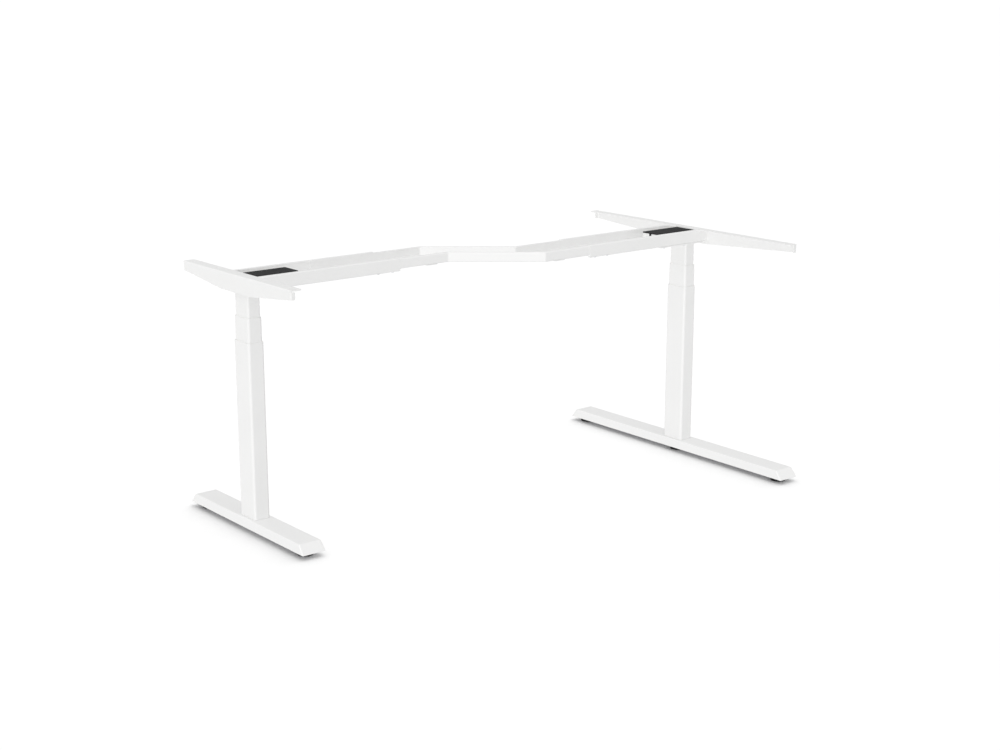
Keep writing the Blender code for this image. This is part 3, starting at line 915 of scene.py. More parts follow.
# ---- leg -------------------------------------------------------------------------------------
def four_spots(x: float, y: float) -> list[Flat]:
    """The four corners of a pattern round the column's middle.

    Args:
        x: How far along the beam they are.
        y: How far across it.

    Returns:
        The four places.
    """
    return [(along * x, across * y) for along in (-1, 1) for across in (-1, 1)]


@dataclass
class Foot:
    """The pressed steel foot with its underside plate, levelling feet and column screws."""

    side: Side
    maker: Maker
    glides: tuple[str, ...]
    wall: float = 0.0025
    fold_radius: float = 0.0032
    top_taper: float = 0.0015
    end_slope: float = 0.0217
    screw_spot: Flat = (0.014, 0.028)
    screw_hole: float = 0.0045
    key_hole: float = 0.0065
    stud_hole: float = 0.0044
    nut_size: Flat = (0.0075, 0.0065)
    border: float = 0.010
    fold_angle: float = 20.0
    ribs: int = 24
    rib_sides: int = 3
    rib_depth: float = 0.955
    pad_rim: tuple[Flat, ...] = ((0.0040, 0.0004), (0.0034, 0.0), (0.0012, 0.0), (0.0003, 0.0005),
                                 (0.0, 0.0014), (0.0, 0.0062), (0.0004, 0.0072), (0.0014, 0.0080))
    pad_neck: tuple[Flat, ...] = ((0.0106, 0.0106), (0.0098, 0.0125), (0.0, 0.0125))
    stud_thread: Point = (0.0033, 0.0039, 0.00125)
    stud_start: float = 0.0120

    def glide_spot(self, word: str) -> Vector:
        """The middle of a levelling foot, on the floor."""
        low, high = self.side.box(f"{word}_glide")
        return Vector(((low.x + high.x) / 2, (low.y + high.y) / 2, low.z))

    def build(self) -> None:
        """Build every piece of the foot."""
        self.shell()
        self.plate()
        for word in self.glides:
            self.glide(word)
        self.column_screws()

    def shell(self) -> None:
        """The pressed box: flat top, leaning sides and sloped ends, open underneath."""
        low, high = self.side.box("foot")
        work = Workpiece()
        bmesh.ops.create_grid(work.bm, x_segments=1, y_segments=1, size=1.0)
        top = (high.x - self.top_taper, high.y - self.end_slope, 1.0)
        bmesh.ops.scale(work.bm, verts=work.bm.verts, vec=top)
        bmesh.ops.inset_region(work.bm, faces=list(work.bm.faces), use_boundary=True,
                               use_even_offset=True, thickness=self.border)
        middle = [face for face in work.bm.faces if not any(edge.is_boundary for edge in face.edges)]
        bmesh.ops.delete(work.bm, geom=middle, context="FACES_ONLY")
        work.join(*[round_outline(self.screw_hole, spot, 16) for spot in four_spots(*self.screw_spot)])
        inside = self.border / 2
        edge_of_middle = [edge for edge in work.bm.edges if edge.is_wire
                          or (edge.is_boundary and all(abs(v.co.x) < high.x - inside for v in edge.verts)
                              and all(abs(v.co.y) < top[1] - inside for v in edge.verts))]
        bmesh.ops.triangle_fill(work.bm, use_beauty=True, edges=edge_of_middle, normal=(0, 0, 1))
        bmesh.ops.translate(work.bm, verts=work.bm.verts, vec=(0, 0, high.z))
        rim = [edge for edge in work.open_edges() if edge.calc_length() > 2 * self.border]
        pulled = bmesh.ops.extrude_edge_only(work.bm, edges=rim)["geom"]
        for vert in (item for item in pulled if isinstance(item, BMVert)):
            vert.co = (math.copysign(high.x, vert.co.x), math.copysign(high.y, vert.co.y), low.z)
        bmesh.ops.recalc_face_normals(work.bm, faces=work.bm.faces)
        folds = [edge for edge in work.bm.edges if not edge.is_boundary
                 and edge.calc_face_angle(0.0) > math.radians(self.fold_angle)]
        bmesh.ops.bevel(work.bm, geom=folds, offset=self.fold_radius, segments=5, profile=0.5,
                        affect="EDGES", material=-1)
        if sum(face.normal.z * face.calc_area() for face in work.bm.faces) < 0:
            bmesh.ops.reverse_faces(work.bm, faces=work.bm.faces)
        work.bm.normal_update()
        bmesh.ops.solidify(work.bm, geom=work.everything(), thickness=self.wall)
        for vert in work.bm.verts:
            vert.co.z = max(vert.co.z, low.z)
        self.maker.finish(work, "pressed_foot", "base", WHITE_COAT, ["foot"], rim=0.0005)

    def plate(self) -> None:
        """The flat plate in the foot's underside, with a weld nut over each levelling foot."""
        low, high = self.side.box("foot_plate")
        studs = [self.glide_spot(word) for word in self.glides]
        holes = [round_outline(self.stud_hole, spot, 20) for spot in studs]
        holes += [round_outline(self.key_hole, spot) for spot in four_spots(*self.screw_spot)]
        work = plate([box_outline(low, high, radius=0.006), *holes], low.z, high.z)
        radius, height = self.nut_size
        for spot in studs:
            nut = [round_outline(radius, spot, 6), round_outline(self.stud_hole, spot, 20)]
            work.join(plate(nut, high.z, high.z + height))
        self.maker.finish(work, "sole_plate", "base", ROLLED_STEEL, ["foot_plate"], rim=0.0003)

    def glide(self, word: str) -> None:
        """A levelling foot: a threaded stud moulded into a ribbed round pad.

        Args:
            word: Which one it is.
        """
        low, high = self.side.box(f"{word}_glide")
        radius, spot = (high.x - low.x) / 2, Matrix.Translation(self.glide_spot(word))
        rim = [(radius - inset, height) for inset, height in self.pad_rim]
        sides = self.ribs * self.rib_sides
        pad = turned([(0.0, self.pad_rim[0][1]), *rim, *self.pad_neck], sides)
        grooves = [vert for spoke, vert in pad.spokes(sides, radius - TINY) if spoke % self.rib_sides == 0]
        pad.pull(grooves, self.rib_depth)
        self.maker.finish(pad.move(spot), f"{word}_glide_pad", f"{word}_glide_stage", PAD_PLASTIC,
                          [f"{word}_glide"], rim=0.0)
        stud = threaded(*self.stud_thread, self.stud_start, high.z - 2 * HAIR, steps=20).move(spot)
        self.maker.finish(stud, f"{word}_glide_stud", f"{word}_glide_stage", ZINC_PLATE, rim=0.0)

    def column_screws(self) -> None:
        """The four screws that hold the column down from inside the foot."""
        _, high = self.side.box("foot")
        seat = high.z - self.wall - GAP
        work = Workpiece().join(*[COLUMN_SCREW.cut(facing((*spot, seat), upwards=False))
                                  for spot in four_spots(*self.screw_spot)])
        self.maker.finish(work, "column_screws", "base", ZINC_PLATE, rim=0.0)


@dataclass
class Column:
    """The three-stage telescopic column with its guides."""

    side: Side
    maker: Maker
    wall: float = 0.0015
    corner: float = 0.0070
    corner_step: float = 0.0005
    collar_wall: float = 0.0007
    collar_depth: float = 0.030
    screw_spot: Flat = (0.014, 0.028)
    screw_hole: float = 0.0042
    spindle_hole: float = 0.0120
    inner_hole: Flat = (0.016, 0.031)
    block_corner: float = 0.0045
    band: float = 0.0045
    waist: float = 0.0007

    def build(self) -> None:
        """Build every piece of the column."""
        for index, (word, body) in enumerate((("outer", "base"), ("mid", "mid_stage"), ("inner", "head"))):
            self.tube(word, body, self.corner - index * self.corner_step)
        self.base_plate()
        self.collar("outer", "base", self.corner)
        self.collar("mid", "mid_stage", self.corner - self.corner_step)
        low, high = self.side.box("upper_spindle")
        spindle = round_outline(self.spindle_hole, (low + high) / 2, 40)
        self.slide_block("mid", "mid_stage", spindle)
        across, along = self.inner_hole
        self.slide_block("inner", "head", box_outline((-across, -along), (across, along), radius=0.004))

    def tube(self, word: str, body: str, corner: float) -> None:
        """One stage's tube.

        Args:
            word: Which stage it is.
            body: The body it rides on.
            corner: Its outer corner radius.
        """
        low, high = self.side.box(f"{word}_tube")
        outlines = [box_outline(low, high, corner), box_outline(low, high, corner, self.wall)]
        work = plate(outlines, low.z, high.z)
        self.maker.finish(work, f"{word}_stage_tube", body, WHITE_COAT, [f"{word}_tube"], rim=0.0004)

    def base_plate(self) -> None:
        """The plate inside the lowest tube that the column screws pull on."""
        low, high = self.side.box("column_base_plate")
        holes = [round_outline(self.screw_hole, spot, 20) for spot in four_spots(*self.screw_spot)]
        work = plate([box_outline(low, high, radius=0.005), *holes], low.z, high.z)
        self.maker.finish(work, "tapped_base_plate", "base", ROLLED_STEEL, ["column_base_plate"])

    def collar(self, word: str, body: str, corner: float) -> None:
        """The thin guide collar in the mouth of a tube.

        Args:
            word: The tube's stage.
            body: The body it rides on.
            corner: The tube's outer corner radius.
        """
        low, high = self.side.box(f"{word}_tube")
        inside = self.wall + GAP / 3
        outlines = [box_outline(low, high, corner, inside),
                    box_outline(low, high, corner, inside + self.collar_wall)]
        work = plate(outlines, high.z - self.collar_depth, high.z - 2 * HAIR)
        self.maker.finish(work, f"{word}_guide_collar", body, GUIDE_PLASTIC, rim=0.0)

    def slide_block(self, word: str, body: str, hole: Workpiece) -> None:
        """The slide block on the lower end of a tube, waisted between its two bearing bands.

        Args:
            word: The tube's stage.
            body: The body it rides on.
            hole: What is cut out of its middle.
        """
        low, high = self.side.box(f"{word}_slide_block")
        work = plate([box_outline(low, high, self.block_corner), hole], low.z, high.z)
        band, waist, skin = self.band, self.waist, self.block_corner + HAIR
        for height in (low.z + band, low.z + band + waist, high.z - band - waist, high.z - band):
            bmesh.ops.bisect_plane(work.bm, geom=work.everything(), dist=TINY, plane_co=(0, 0, height),
                                   plane_no=(0, 0, 1))
        for vert in work.bm.verts:
            outside = abs(vert.co.x) > high.x - skin or abs(vert.co.y) > high.y - skin
            if outside and low.z + band + TINY < vert.co.z < high.z - band - TINY:
                work.pull([vert], 1 - waist / high.x, 1 - waist / high.y)
        self.maker.finish(work, f"{word}_waisted_slide_block", body, GUIDE_PLASTIC,
                          [f"{word}_slide_block"], rim=0.0)


@dataclass
class SpindleDrive:
    """The two spindles with their posts, nuts and bearing."""

    side: Side
    maker: Maker
    pitch: float = 0.006
    broken_edge: float = 0.0006
    flange: float = 0.005
    waist: float = 0.0014
    hollow_bore: float = 0.0056
    hollow_thread: float = 0.0011
    journal: float = 0.018
    thread_depth: float = 0.0009
    drive_end: float = 0.050
    runout: float = 0.006
    end_chamfer: float = 0.001

    def line(self, node: str) -> tuple[Matrix, float, float, float]:
        """Where a round part is.

        Args:
            node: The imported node.

        Returns:
            Its place, outer radius, and its lower and upper end.
        """
        low, high = self.side.box(node)
        middle = (low + high) / 2
        return Matrix.Translation((middle.x, middle.y, 0.0)), (high.x - low.x) / 2, low.z, high.z

    def sleeve(self, node: str, body: str, bore: float, grooves: int) -> None:
        """A turned sleeve with oil grooves.

        Args:
            node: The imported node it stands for.
            body: The body it rides on.
            bore: Its bore radius.
            grooves: How many grooves run round it.
        """
        place, outer, low, high = self.line(node)
        edge = self.broken_edge
        profile = [(bore, low), (outer - edge, low), (outer, low + edge)]
        for groove in range(grooves):
            middle = low + (high - low) * (groove + 1) / (grooves + 1)
            profile += [(outer, middle - 2 * edge), (outer - edge, middle - edge),
                        (outer - edge, middle + edge), (outer, middle + 2 * edge)]
        profile += [(outer, high - edge), (outer - edge, high), (bore, high)]
        self.maker.finish(turned(profile, closed=True).move(place), f"{node}_sleeve", body, TURNED_STEEL,
                          [node], rim=0.0)

    def nut(self, node: str, body: str, bore: float) -> None:
        """A flanged spindle nut with a waisted body.

        Args:
            node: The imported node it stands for.
            body: The body it rides on.
            bore: Its bore radius.
        """
        place, outer, low, high = self.line(node)
        edge, flange, waist = self.broken_edge, low + self.flange, outer - self.waist
        profile = [(bore + edge, low), (outer - edge, low), (outer, low + edge), (outer, flange - edge),
                   (outer - edge, flange), (waist, flange), (waist, high - edge), (waist - edge, high),
                   (bore + edge, high), (bore, high - edge), (bore, low + edge)]
        self.maker.finish(turned(profile, closed=True).move(place), f"{node}_flanged", body, TURNED_BRONZE,
                          [node], rim=0.0)

    def build(self) -> None:
        """Build every piece of the drive below the gearbox."""
        self.sleeve("lower_post", "base", bore=0.0086, grooves=3)
        self.nut("lower_nut", "base", bore=0.0084)
        self.sleeve("mid_post", "mid_stage", bore=0.0120, grooves=2)
        self.sleeve("mid_bearing", "mid_stage", bore=0.0084, grooves=1)
        self.nut("upper_nut", "mid_stage", bore=0.0054)
        self.hollow_spindle()
        self.upper_spindle()

    def hollow_spindle(self) -> None:
        """The hollow lower spindle: threaded outside, with a smooth journal at its top."""
        place, outer, low, high = self.line("hollow_spindle")
        bore, journal = self.hollow_bore, high - self.journal
        work = threaded(outer - self.hollow_thread, outer, self.pitch, low, journal, bore)
        work.join(ring(bore, outer, journal + TINY, high)).move(place)
        self.maker.finish(work, "threaded_hollow_spindle", "hollow_spindle_stage", TURNED_STEEL,
                          ["hollow_spindle"], rim=0.0)

    def upper_spindle(self) -> None:
        """The driven upper spindle: threaded below, turned smooth where the worm wheel sits."""
        place, outer, low, high = self.line("upper_spindle")
        end, neck = high - self.drive_end, outer - self.thread_depth
        work = threaded(neck, outer, self.pitch, low, end)
        shoulder, edge = end + self.runout, self.end_chamfer
        work.join(turned([(0.0, end + TINY), (neck, end + TINY), (neck, shoulder), (outer, shoulder + edge),
                          (outer, high - edge), (outer - edge, high), (0.0, high)]))
        self.maker.finish(work.move(place), "threaded_upper_spindle", "upper_spindle_stage", TURNED_STEEL,
                          ["upper_spindle"], rim=0.0)


@dataclass
class Gearbox:
    """The worm gearbox and motor on the head plate."""

    side: Side
    maker: Maker
    teeth: int = 30
    slots: int = 12
    wall: float = 0.002
    worm_pitch: float = 0.003
    wheel_bore: float = 0.0053
    tooth: Flat = (0.0009, 0.0001)
    tooth_sides: int = 4
    hub: Flat = (0.0054, 0.0082)
    hub_rise: float = 0.0004
    casting_edge: float = 0.0022
    fins: int = 5
    fin_start: float = 0.0085
    fin_spacing: float = 0.008
    fin_width: float = 0.0016
    fin_reach: Flat = (0.0011, 0.0005)
    fin_inset: float = 0.003
    flange_reach: float = 0.0032
    boss: Flat = (0.0036, 0.0045)
    boss_drop: float = 0.0012
    drum: Flat = (0.0400, 0.0960)
    drum_radius: float = 0.0114
    drum_bore: float = 0.0031
    slot_depth: float = 0.86
    shaft_radius: float = 0.003
    shaft_start: float = 0.0120
    worm: Flat = (0.0039, 0.0049)
    commutator: Flat = (0.0970, 0.1010)
    commutator_radius: float = 0.0072
    flux_wall: float = 0.0008
    flux_ring: Flat = (0.020, 0.062)
    can_bore: float = 0.0128
    can_ends: Flat = (0.0016, 0.0034)
    shaft_hole: float = 0.0036
    bearing_boss: float = 0.0052
    rolled_edge: float = 0.002
    crimp: tuple[Flat, ...] = ((0.0, 0.006), (0.0006, 0.0054), (0.0, 0.0046), (0.0, 0.0036), (0.0014, 0.002))

    def build(self) -> None:
        """Build the gearbox and the motor."""
        self.wheel()
        self.housing()
        self.rotor()
        self.can()

    def wheel(self) -> None:
        """The bronze worm wheel: slanting teeth on a disc with a raised hub."""
        low, high = self.side.box("worm_wheel")
        centre, outer = (low + high) / 2, (high.x - low.x) / 2
        root, tip = outer - self.tooth[0], outer - self.tooth[1]
        sides = self.teeth * self.tooth_sides
        work = plate([round_outline(root, steps=sides), round_outline(self.wheel_bore)], low.z, high.z)
        rim = work.spokes(sides, root - TINY)
        work.pull([vert for spoke, vert in rim if spoke % self.tooth_sides < 2], tip / root)
        slant = Matrix.Rotation(FULL / self.teeth / 3, 3, "Z")
        upper = [vert for _, vert in rim if vert.co.z > centre.z]
        bmesh.ops.rotate(work.bm, cent=(0, 0, 0), matrix=slant, verts=upper)
        for start, end in ((low.z - self.hub_rise, low.z - TINY), (high.z + TINY, high.z + self.hub_rise)):
            work.join(ring(*self.hub, start, end, HAIR))
        work.move(Matrix.Translation((centre.x, centre.y, 0.0)))
        self.maker.finish(work, "toothed_worm_wheel", "upper_spindle_stage", TURNED_BRONZE, ["worm_wheel"],
                          rim=0.0)

    def housing(self) -> None:
        """The cast housing: a ribbed box on a flange, with four screw bosses."""
        low, high = self.side.box("gearbox_housing")
        edge = self.casting_edge
        work = block(low, high, edge, 3)
        rounded = low.z + edge + HAIR
        under = [face for face in work.bm.faces if all(vert.co.z < rounded for vert in face.verts)]
        bmesh.ops.delete(work.bm, geom=under, context="FACES")
        for vert in work.open_points():
            vert.co.z = low.z
        work.bm.normal_update()
        bmesh.ops.solidify(work.bm, geom=work.everything(), thickness=self.wall)
        for step in range(self.fins):
            y = low.y + self.fin_start + step * self.fin_spacing
            work.join(block((low.x - self.fin_reach[0], y, low.z + self.fin_inset),
                            (low.x + self.fin_reach[1], y + self.fin_width, high.z - self.fin_inset)))
        flange = [box_outline(low, high, radius=0.004, shrink=-self.flange_reach),
                  box_outline(low, high, radius=0.002, shrink=-HAIR)]
        work.join(plate(flange, low.z, low.z + edge))
        radius, inset = self.boss
        for along, across in four_spots(1, 1):
            spot = ((low.x, high.x)[along > 0] - along * inset, (low.y, high.y)[across > 0] - across * inset)
            work.join(plate([round_outline(radius, spot)], low.z + 2 * HAIR, high.z - self.boss_drop))
        self.maker.finish(work, "cast_gearbox_housing", "head", BLACK_COAT, ["gearbox_housing"], rim=0.0002)

    def lying(self, node: str) -> tuple[Matrix, Vector, Vector]:
        """Where a part that lies along the beam is.

        Args:
            node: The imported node.

        Returns:
            The matrix from axes whose z runs along the beam, and the node's box.
        """
        low, high = self.side.box(node)
        middle = (low + high) / 2
        return Matrix.Translation((0.0, middle.y, middle.z)) @ Matrix.Rotation(QUARTER, 4, "Y"), low, high

    def rotor(self) -> None:
        """The motor's slotted rotor and shaft, with the worm cut on the shaft's end."""
        place, low, high = self.lying("motor_rotor")
        sides = self.slots * self.tooth_sides
        outlines = [round_outline(self.drum_radius, steps=sides), round_outline(self.drum_bore)]
        drum = plate(outlines, *self.drum)
        rim = drum.spokes(sides, self.drum_radius - TINY)
        drum.pull([vert for spoke, vert in rim if spoke % self.tooth_sides == 0], self.slot_depth)
        radius, start = self.shaft_radius, self.shaft_start
        edge = 4 * HAIR
        shaft = turned([(0.0, start), (radius, start), (radius, high.x - edge), (radius - edge, high.x),
                        (0.0, high.x)])
        worm = threaded(*self.worm, self.worm_pitch, low.x, start - HAIR)
        drum.join(shaft, worm, ring(self.drum_bore, self.commutator_radius, *self.commutator)).move(place)
        self.maker.finish(drum, "slotted_motor_rotor", "head", LYING_STEEL, ["motor_rotor"], rim=0.0)

    def can(self) -> None:
        """The drawn steel can with its rolled-in end, flux ring and bearing boss."""
        place, low, high = self.lying("motor_can")
        radius = (high.z - low.z) / 2
        body = radius - self.flux_wall
        bore, hole, boss, edge = self.can_bore, self.shaft_hole, self.bearing_boss, self.rolled_edge
        mouth, bottom, shoulder = low.x + self.can_ends[0], high.x - self.can_ends[1], high.x - edge
        first, last = (low.x + spot for spot in self.flux_ring)
        step, edge_of_boss = 5 * HAIR, 4 * HAIR
        profile = [(0.0, bottom), (bore, bottom), (bore, mouth), (hole, mouth), (hole, low.x),
                   (body - edge, low.x), (body, low.x + edge), (body, first), (radius, first + step),
                   (radius, last), (body, last + step),
                   *[(body - inset, high.x - back) for inset, back in self.crimp],
                   (boss, shoulder), (boss - edge_of_boss, high.x), (0.0, high.x)]
        self.maker.finish(turned(profile, 64).move(place), "drawn_motor_can", "head", LYING_STEEL,
                          ["motor_can"], rim=0.0)


@dataclass
class MotorHousing:
    """The walls round motor and gearbox, with the flat cover clipped over them."""

    side: Side
    maker: Maker
    wall: float = 0.0015
    corner: float = 0.003
    groove: float = 0.0004
    cover_height: float = 0.0031
    cover_corner: float = 0.0035
    clip_half_width: float = 0.004
    clip_length: float = 0.0006
    clip_root: float = 0.0015
    clip_drop: float = 0.0009
    border: float = 0.0034
    painted_highlight_end: float = 0.0075
    painted_highlight_corner: float = 0.0025

    def build(self) -> None:
        """Build the walls and the cover."""
        low, high = self.side.box("motor_box")
        outlines = [box_outline(low, high, self.corner), box_outline(low, high, self.corner, self.wall)]
        walls = plate(outlines, low.z, high.z)
        self.maker.finish(walls, "motor_housing_walls", "head", WHITE_COAT, ["motor_box"])
        self.cover()

    def cover(self) -> None:
        """The flat cover: rounded edges, a fine groove inside its rim and a clip at its inboard end."""
        low, high = self.side.box("motor_cover")
        start, end = low.x, high.x - self.clip_length
        # On the left leg the black cover stops short, and a white plate paints a highlight over its outboard
        # end.
        if self.side is Side.LEFT:
            start = self.painted_highlight_end
            self.cap(low, high)
        outline = box_outline((start, low.y), (end, high.y), self.cover_corner, steps=6)
        work = plate([outline], high.z - self.cover_height, high.z)
        top = [face for face in work.bm.faces if face.normal.z > 0.9]
        panel = bmesh.ops.dissolve_faces(work.bm, faces=top)["region"]
        for width, depth in ((self.border, 0.0), (self.groove, -self.groove), (self.groove, 0.0),
                             (self.groove, self.groove)):
            bmesh.ops.inset_region(work.bm, faces=panel, thickness=width, depth=depth)
        clip = block((end - self.clip_root, -self.clip_half_width, low.z),
                     (high.x, self.clip_half_width, high.z - self.clip_drop), edge=0.0005)
        self.maker.finish(work.join(clip), "clip_on_motor_cover", "head", COVER_PLASTIC, ["motor_cover"],
                          rim=0.0006)

    def cap(self, low: Vector, high: Vector) -> None:
        """A white plate that paints a highlight on the outboard end of the black cover's place, on the left
        leg only.

        Args:
            low: The lowest corner of the cover's place.
            high: The highest one.
        """
        # Painted highlight: white coat where the black cover's outboard end catches the light.
        outline = box_outline(low, (self.painted_highlight_end - GAP, high.y), self.painted_highlight_corner, steps=6)
        work = plate([outline], high.z - self.cover_height, high.z - GAP)
        self.maker.finish(work, "painted_highlight_plate", "head", WHITE_COAT, rim=0.0005)


@dataclass
class HeadPlate:
    """The plate under the beam that joins column, gearbox and channels."""

    side: Side
    maker: Maker
    notch: Flat = (0.085, -0.050)
    bolt_spots: tuple[Flat, ...] = ((0.060, 0.0665), (0.060, -0.0665), (0.150, 0.0665))
    bolt_hole: float = 0.0034
    spindle_hole: float = 0.009

    def build(self) -> None:
        """Build the plate and its bolts."""
        low, high = self.side.box("head_plate")
        spindle = self.side.box("upper_spindle")
        holes = [round_outline(self.spindle_hole, (spindle[0] + spindle[1]) / 2)]
        holes += [round_outline(self.bolt_hole, spot, 20) for spot in self.bolt_spots]
        outline = traced_outline([(low.x, high.y), (low.x, low.y), (self.notch[0], low.y), self.notch,
                                  (high.x, self.notch[1]), (high.x, high.y)])
        work = plate([outline, *holes], low.z, high.z)
        self.maker.finish(work, "drilled_head_plate", "head", WHITE_COAT, ["head_plate"])
        bolts = Workpiece().join(*[PLATE_BOLT.cut(facing((*spot, low.z), upwards=False))
                                   for spot in self.bolt_spots])
        self.maker.finish(bolts, "head_plate_bolts", "head", ZINC_PLATE, rim=0.0)


@dataclass
class SideBracket:
    """The wing that carries a worktop: a tapering web, a flange at its top and lips at its ends."""

    side: Side
    maker: Maker
    wall: float = 0.003
    fold_radius: float = 0.0042
    end_depth: float = 0.0265
    flat_half: float = 0.078
    lip: float = 0.013
    relief: float = 0.0015
    corner: float = 0.006
    hole_radius: float = 0.0035
    hole_spots: Flat = (0.120, 0.035)
    hole_inset: float = 0.0176
    lip_corner: float = 0.002
    bead: Flat = (0.0016, 0.0022)
    bead_ends: Flat = (0.004, 0.007)

    def build(self) -> None:
        """Build the bracket and the welds that join it to the channels."""
        low, high = self.side.box("side_bracket")
        half, radius = high.y, self.fold_radius
        sheet = Sheet(self.wall, radius)
        flange = -radius + sheet.arc + (high.x - low.x) - radius
        reach = half - radius + sheet.arc + self.lip - radius
        depth, end = high.z - low.z, self.end_depth
        shoulder = -radius - self.relief
        nip = self.lip_corner
        right = [(self.flat_half, -depth), (half, -end), (reach - nip, -end), (reach, -end + nip),
                 (reach, shoulder - nip), (reach - nip, shoulder), (half - radius, shoulder),
                 (half - radius, -radius), (half, -radius), (half, flange - self.corner),
                 (half - self.corner * 0.3, flange - self.corner * 0.3), (half - self.corner, flange)]
        left = [(-x, y) for x, y in reversed(right)]
        spots = [self.hole_spots[0], half - self.hole_spots[1]]
        holes = [round_outline(self.hole_radius, (sign * spot, flange - self.hole_inset), 20)
                 for spot in spots for sign in (-1, 1)]
        sheet.cut_out([traced_outline(right + left), *holes])
        for direction in ((-1.0, 0.0), (1.0, 0.0)):
            sheet.fold(direction, half - radius, where=lambda spot: spot.y < shoulder + TINY)
        sheet.fold((0.0, 1.0), -radius)
        sheet.give_wall()
        sheet.move(sheet_place((0, -1, 0), (0, 0, 1), (low.x, 0, high.z)))
        self.maker.finish(sheet, "folded_side_bracket", "head", WHITE_COAT, ["side_bracket"], rim=0.0004)
        self.welds(low.x + self.wall)

    def welds(self, inner_face: float) -> None:
        """The upright weld beads where the channels meet the bracket.

        Args:
            inner_face: Where the bracket's inner face is along the beam.
        """
        radius, ripple = self.bead
        work = Workpiece()
        for word in ("front", "back"):
            low, high = self.side.box(f"{word}_channel")
            y = low.y + radius * 0.4 if low.y < 0 else high.y - radius * 0.4
            start, end = low.z + self.bead_ends[0], high.z - self.bead_ends[1]
            bead = threaded(radius * 0.8, radius, ripple, start, end, steps=12)
            work.join(bead.move(Matrix.Translation((inner_face + radius * 0.5, y, 0.0))))
        self.maker.finish(work, "bracket_welds", "head", WHITE_COAT, rim=0.0)


@dataclass
class BeamChannels:
    """The front and back channels that the rails slide in, with their clamp screws."""

    side: Side
    maker: Maker
    wall: float = 0.002
    fold_radius: float = 0.0028
    lip: float = 0.014
    clamp_spots: tuple[float, ...] = (0.395, 0.445)
    clamp_hole: float = 0.0034
    end_corner: float = 0.004

    def build(self) -> None:
        """Build both channels."""
        for word in ("front", "back"):
            self.channel(word)
            self.clamps(word)

    def channel(self, word: str) -> None:
        """One channel: a C section, cut away at the top where the bracket's flange covers it.

        Args:
            word: Front or back.
        """
        low, high = self.side.box(f"{word}_channel")
        _, bracket = self.side.box("side_bracket")
        half, radius = (high.z - low.z) / 2, self.fold_radius
        sheet = Sheet(self.wall, radius)
        edge = half - radius + sheet.arc + self.lip - radius
        notch = bracket.x + GAP
        shoulder = bracket.z - SideBracket.wall - GAP - low.z - half
        nip = self.end_corner
        corners = [(low.x, -edge), (high.x - nip, -edge), (high.x, -edge + nip), (high.x, edge - nip),
                   (high.x - nip, edge), (notch, edge), (notch, shoulder), (low.x, shoulder)]
        holes = [round_outline(self.clamp_hole, (spot, -edge + self.lip / 2), 20)
                 for spot in self.clamp_spots]
        sheet.cut_out([traced_outline(corners), *holes])
        sheet.fold((0.0, 1.0), half - radius)
        sheet.fold((0.0, -1.0), half - radius)
        sheet.give_wall()
        face = low.y if low.y < 0 else -high.y
        sheet.move(sheet_place((1, 0, 0), (0, 0, 1), (0.0, face, low.z + half)))
        if low.y > 0:
            sheet.move(Matrix.Scale(-1, 4, (0, 1, 0)))
        self.maker.finish(sheet, f"folded_{word}_channel", "head", WHITE_COAT, [f"{word}_channel"],
                          rim=0.0004)

    def clamps(self, word: str) -> None:
        """The screws under a channel that clamp its rail.

        Args:
            word: Front or back.
        """
        low, high = self.side.box(f"{word}_channel")
        y = low.y + self.lip / 2 if low.y < 0 else high.y - self.lip / 2
        work = Workpiece().join(*[CLAMP_SCREW.cut(facing((spot, y, low.z), upwards=False))
                                  for spot in self.clamp_spots])
        self.maker.finish(work, f"{word}_clamp_screws", "head", ZINC_PLATE, rim=0.0)


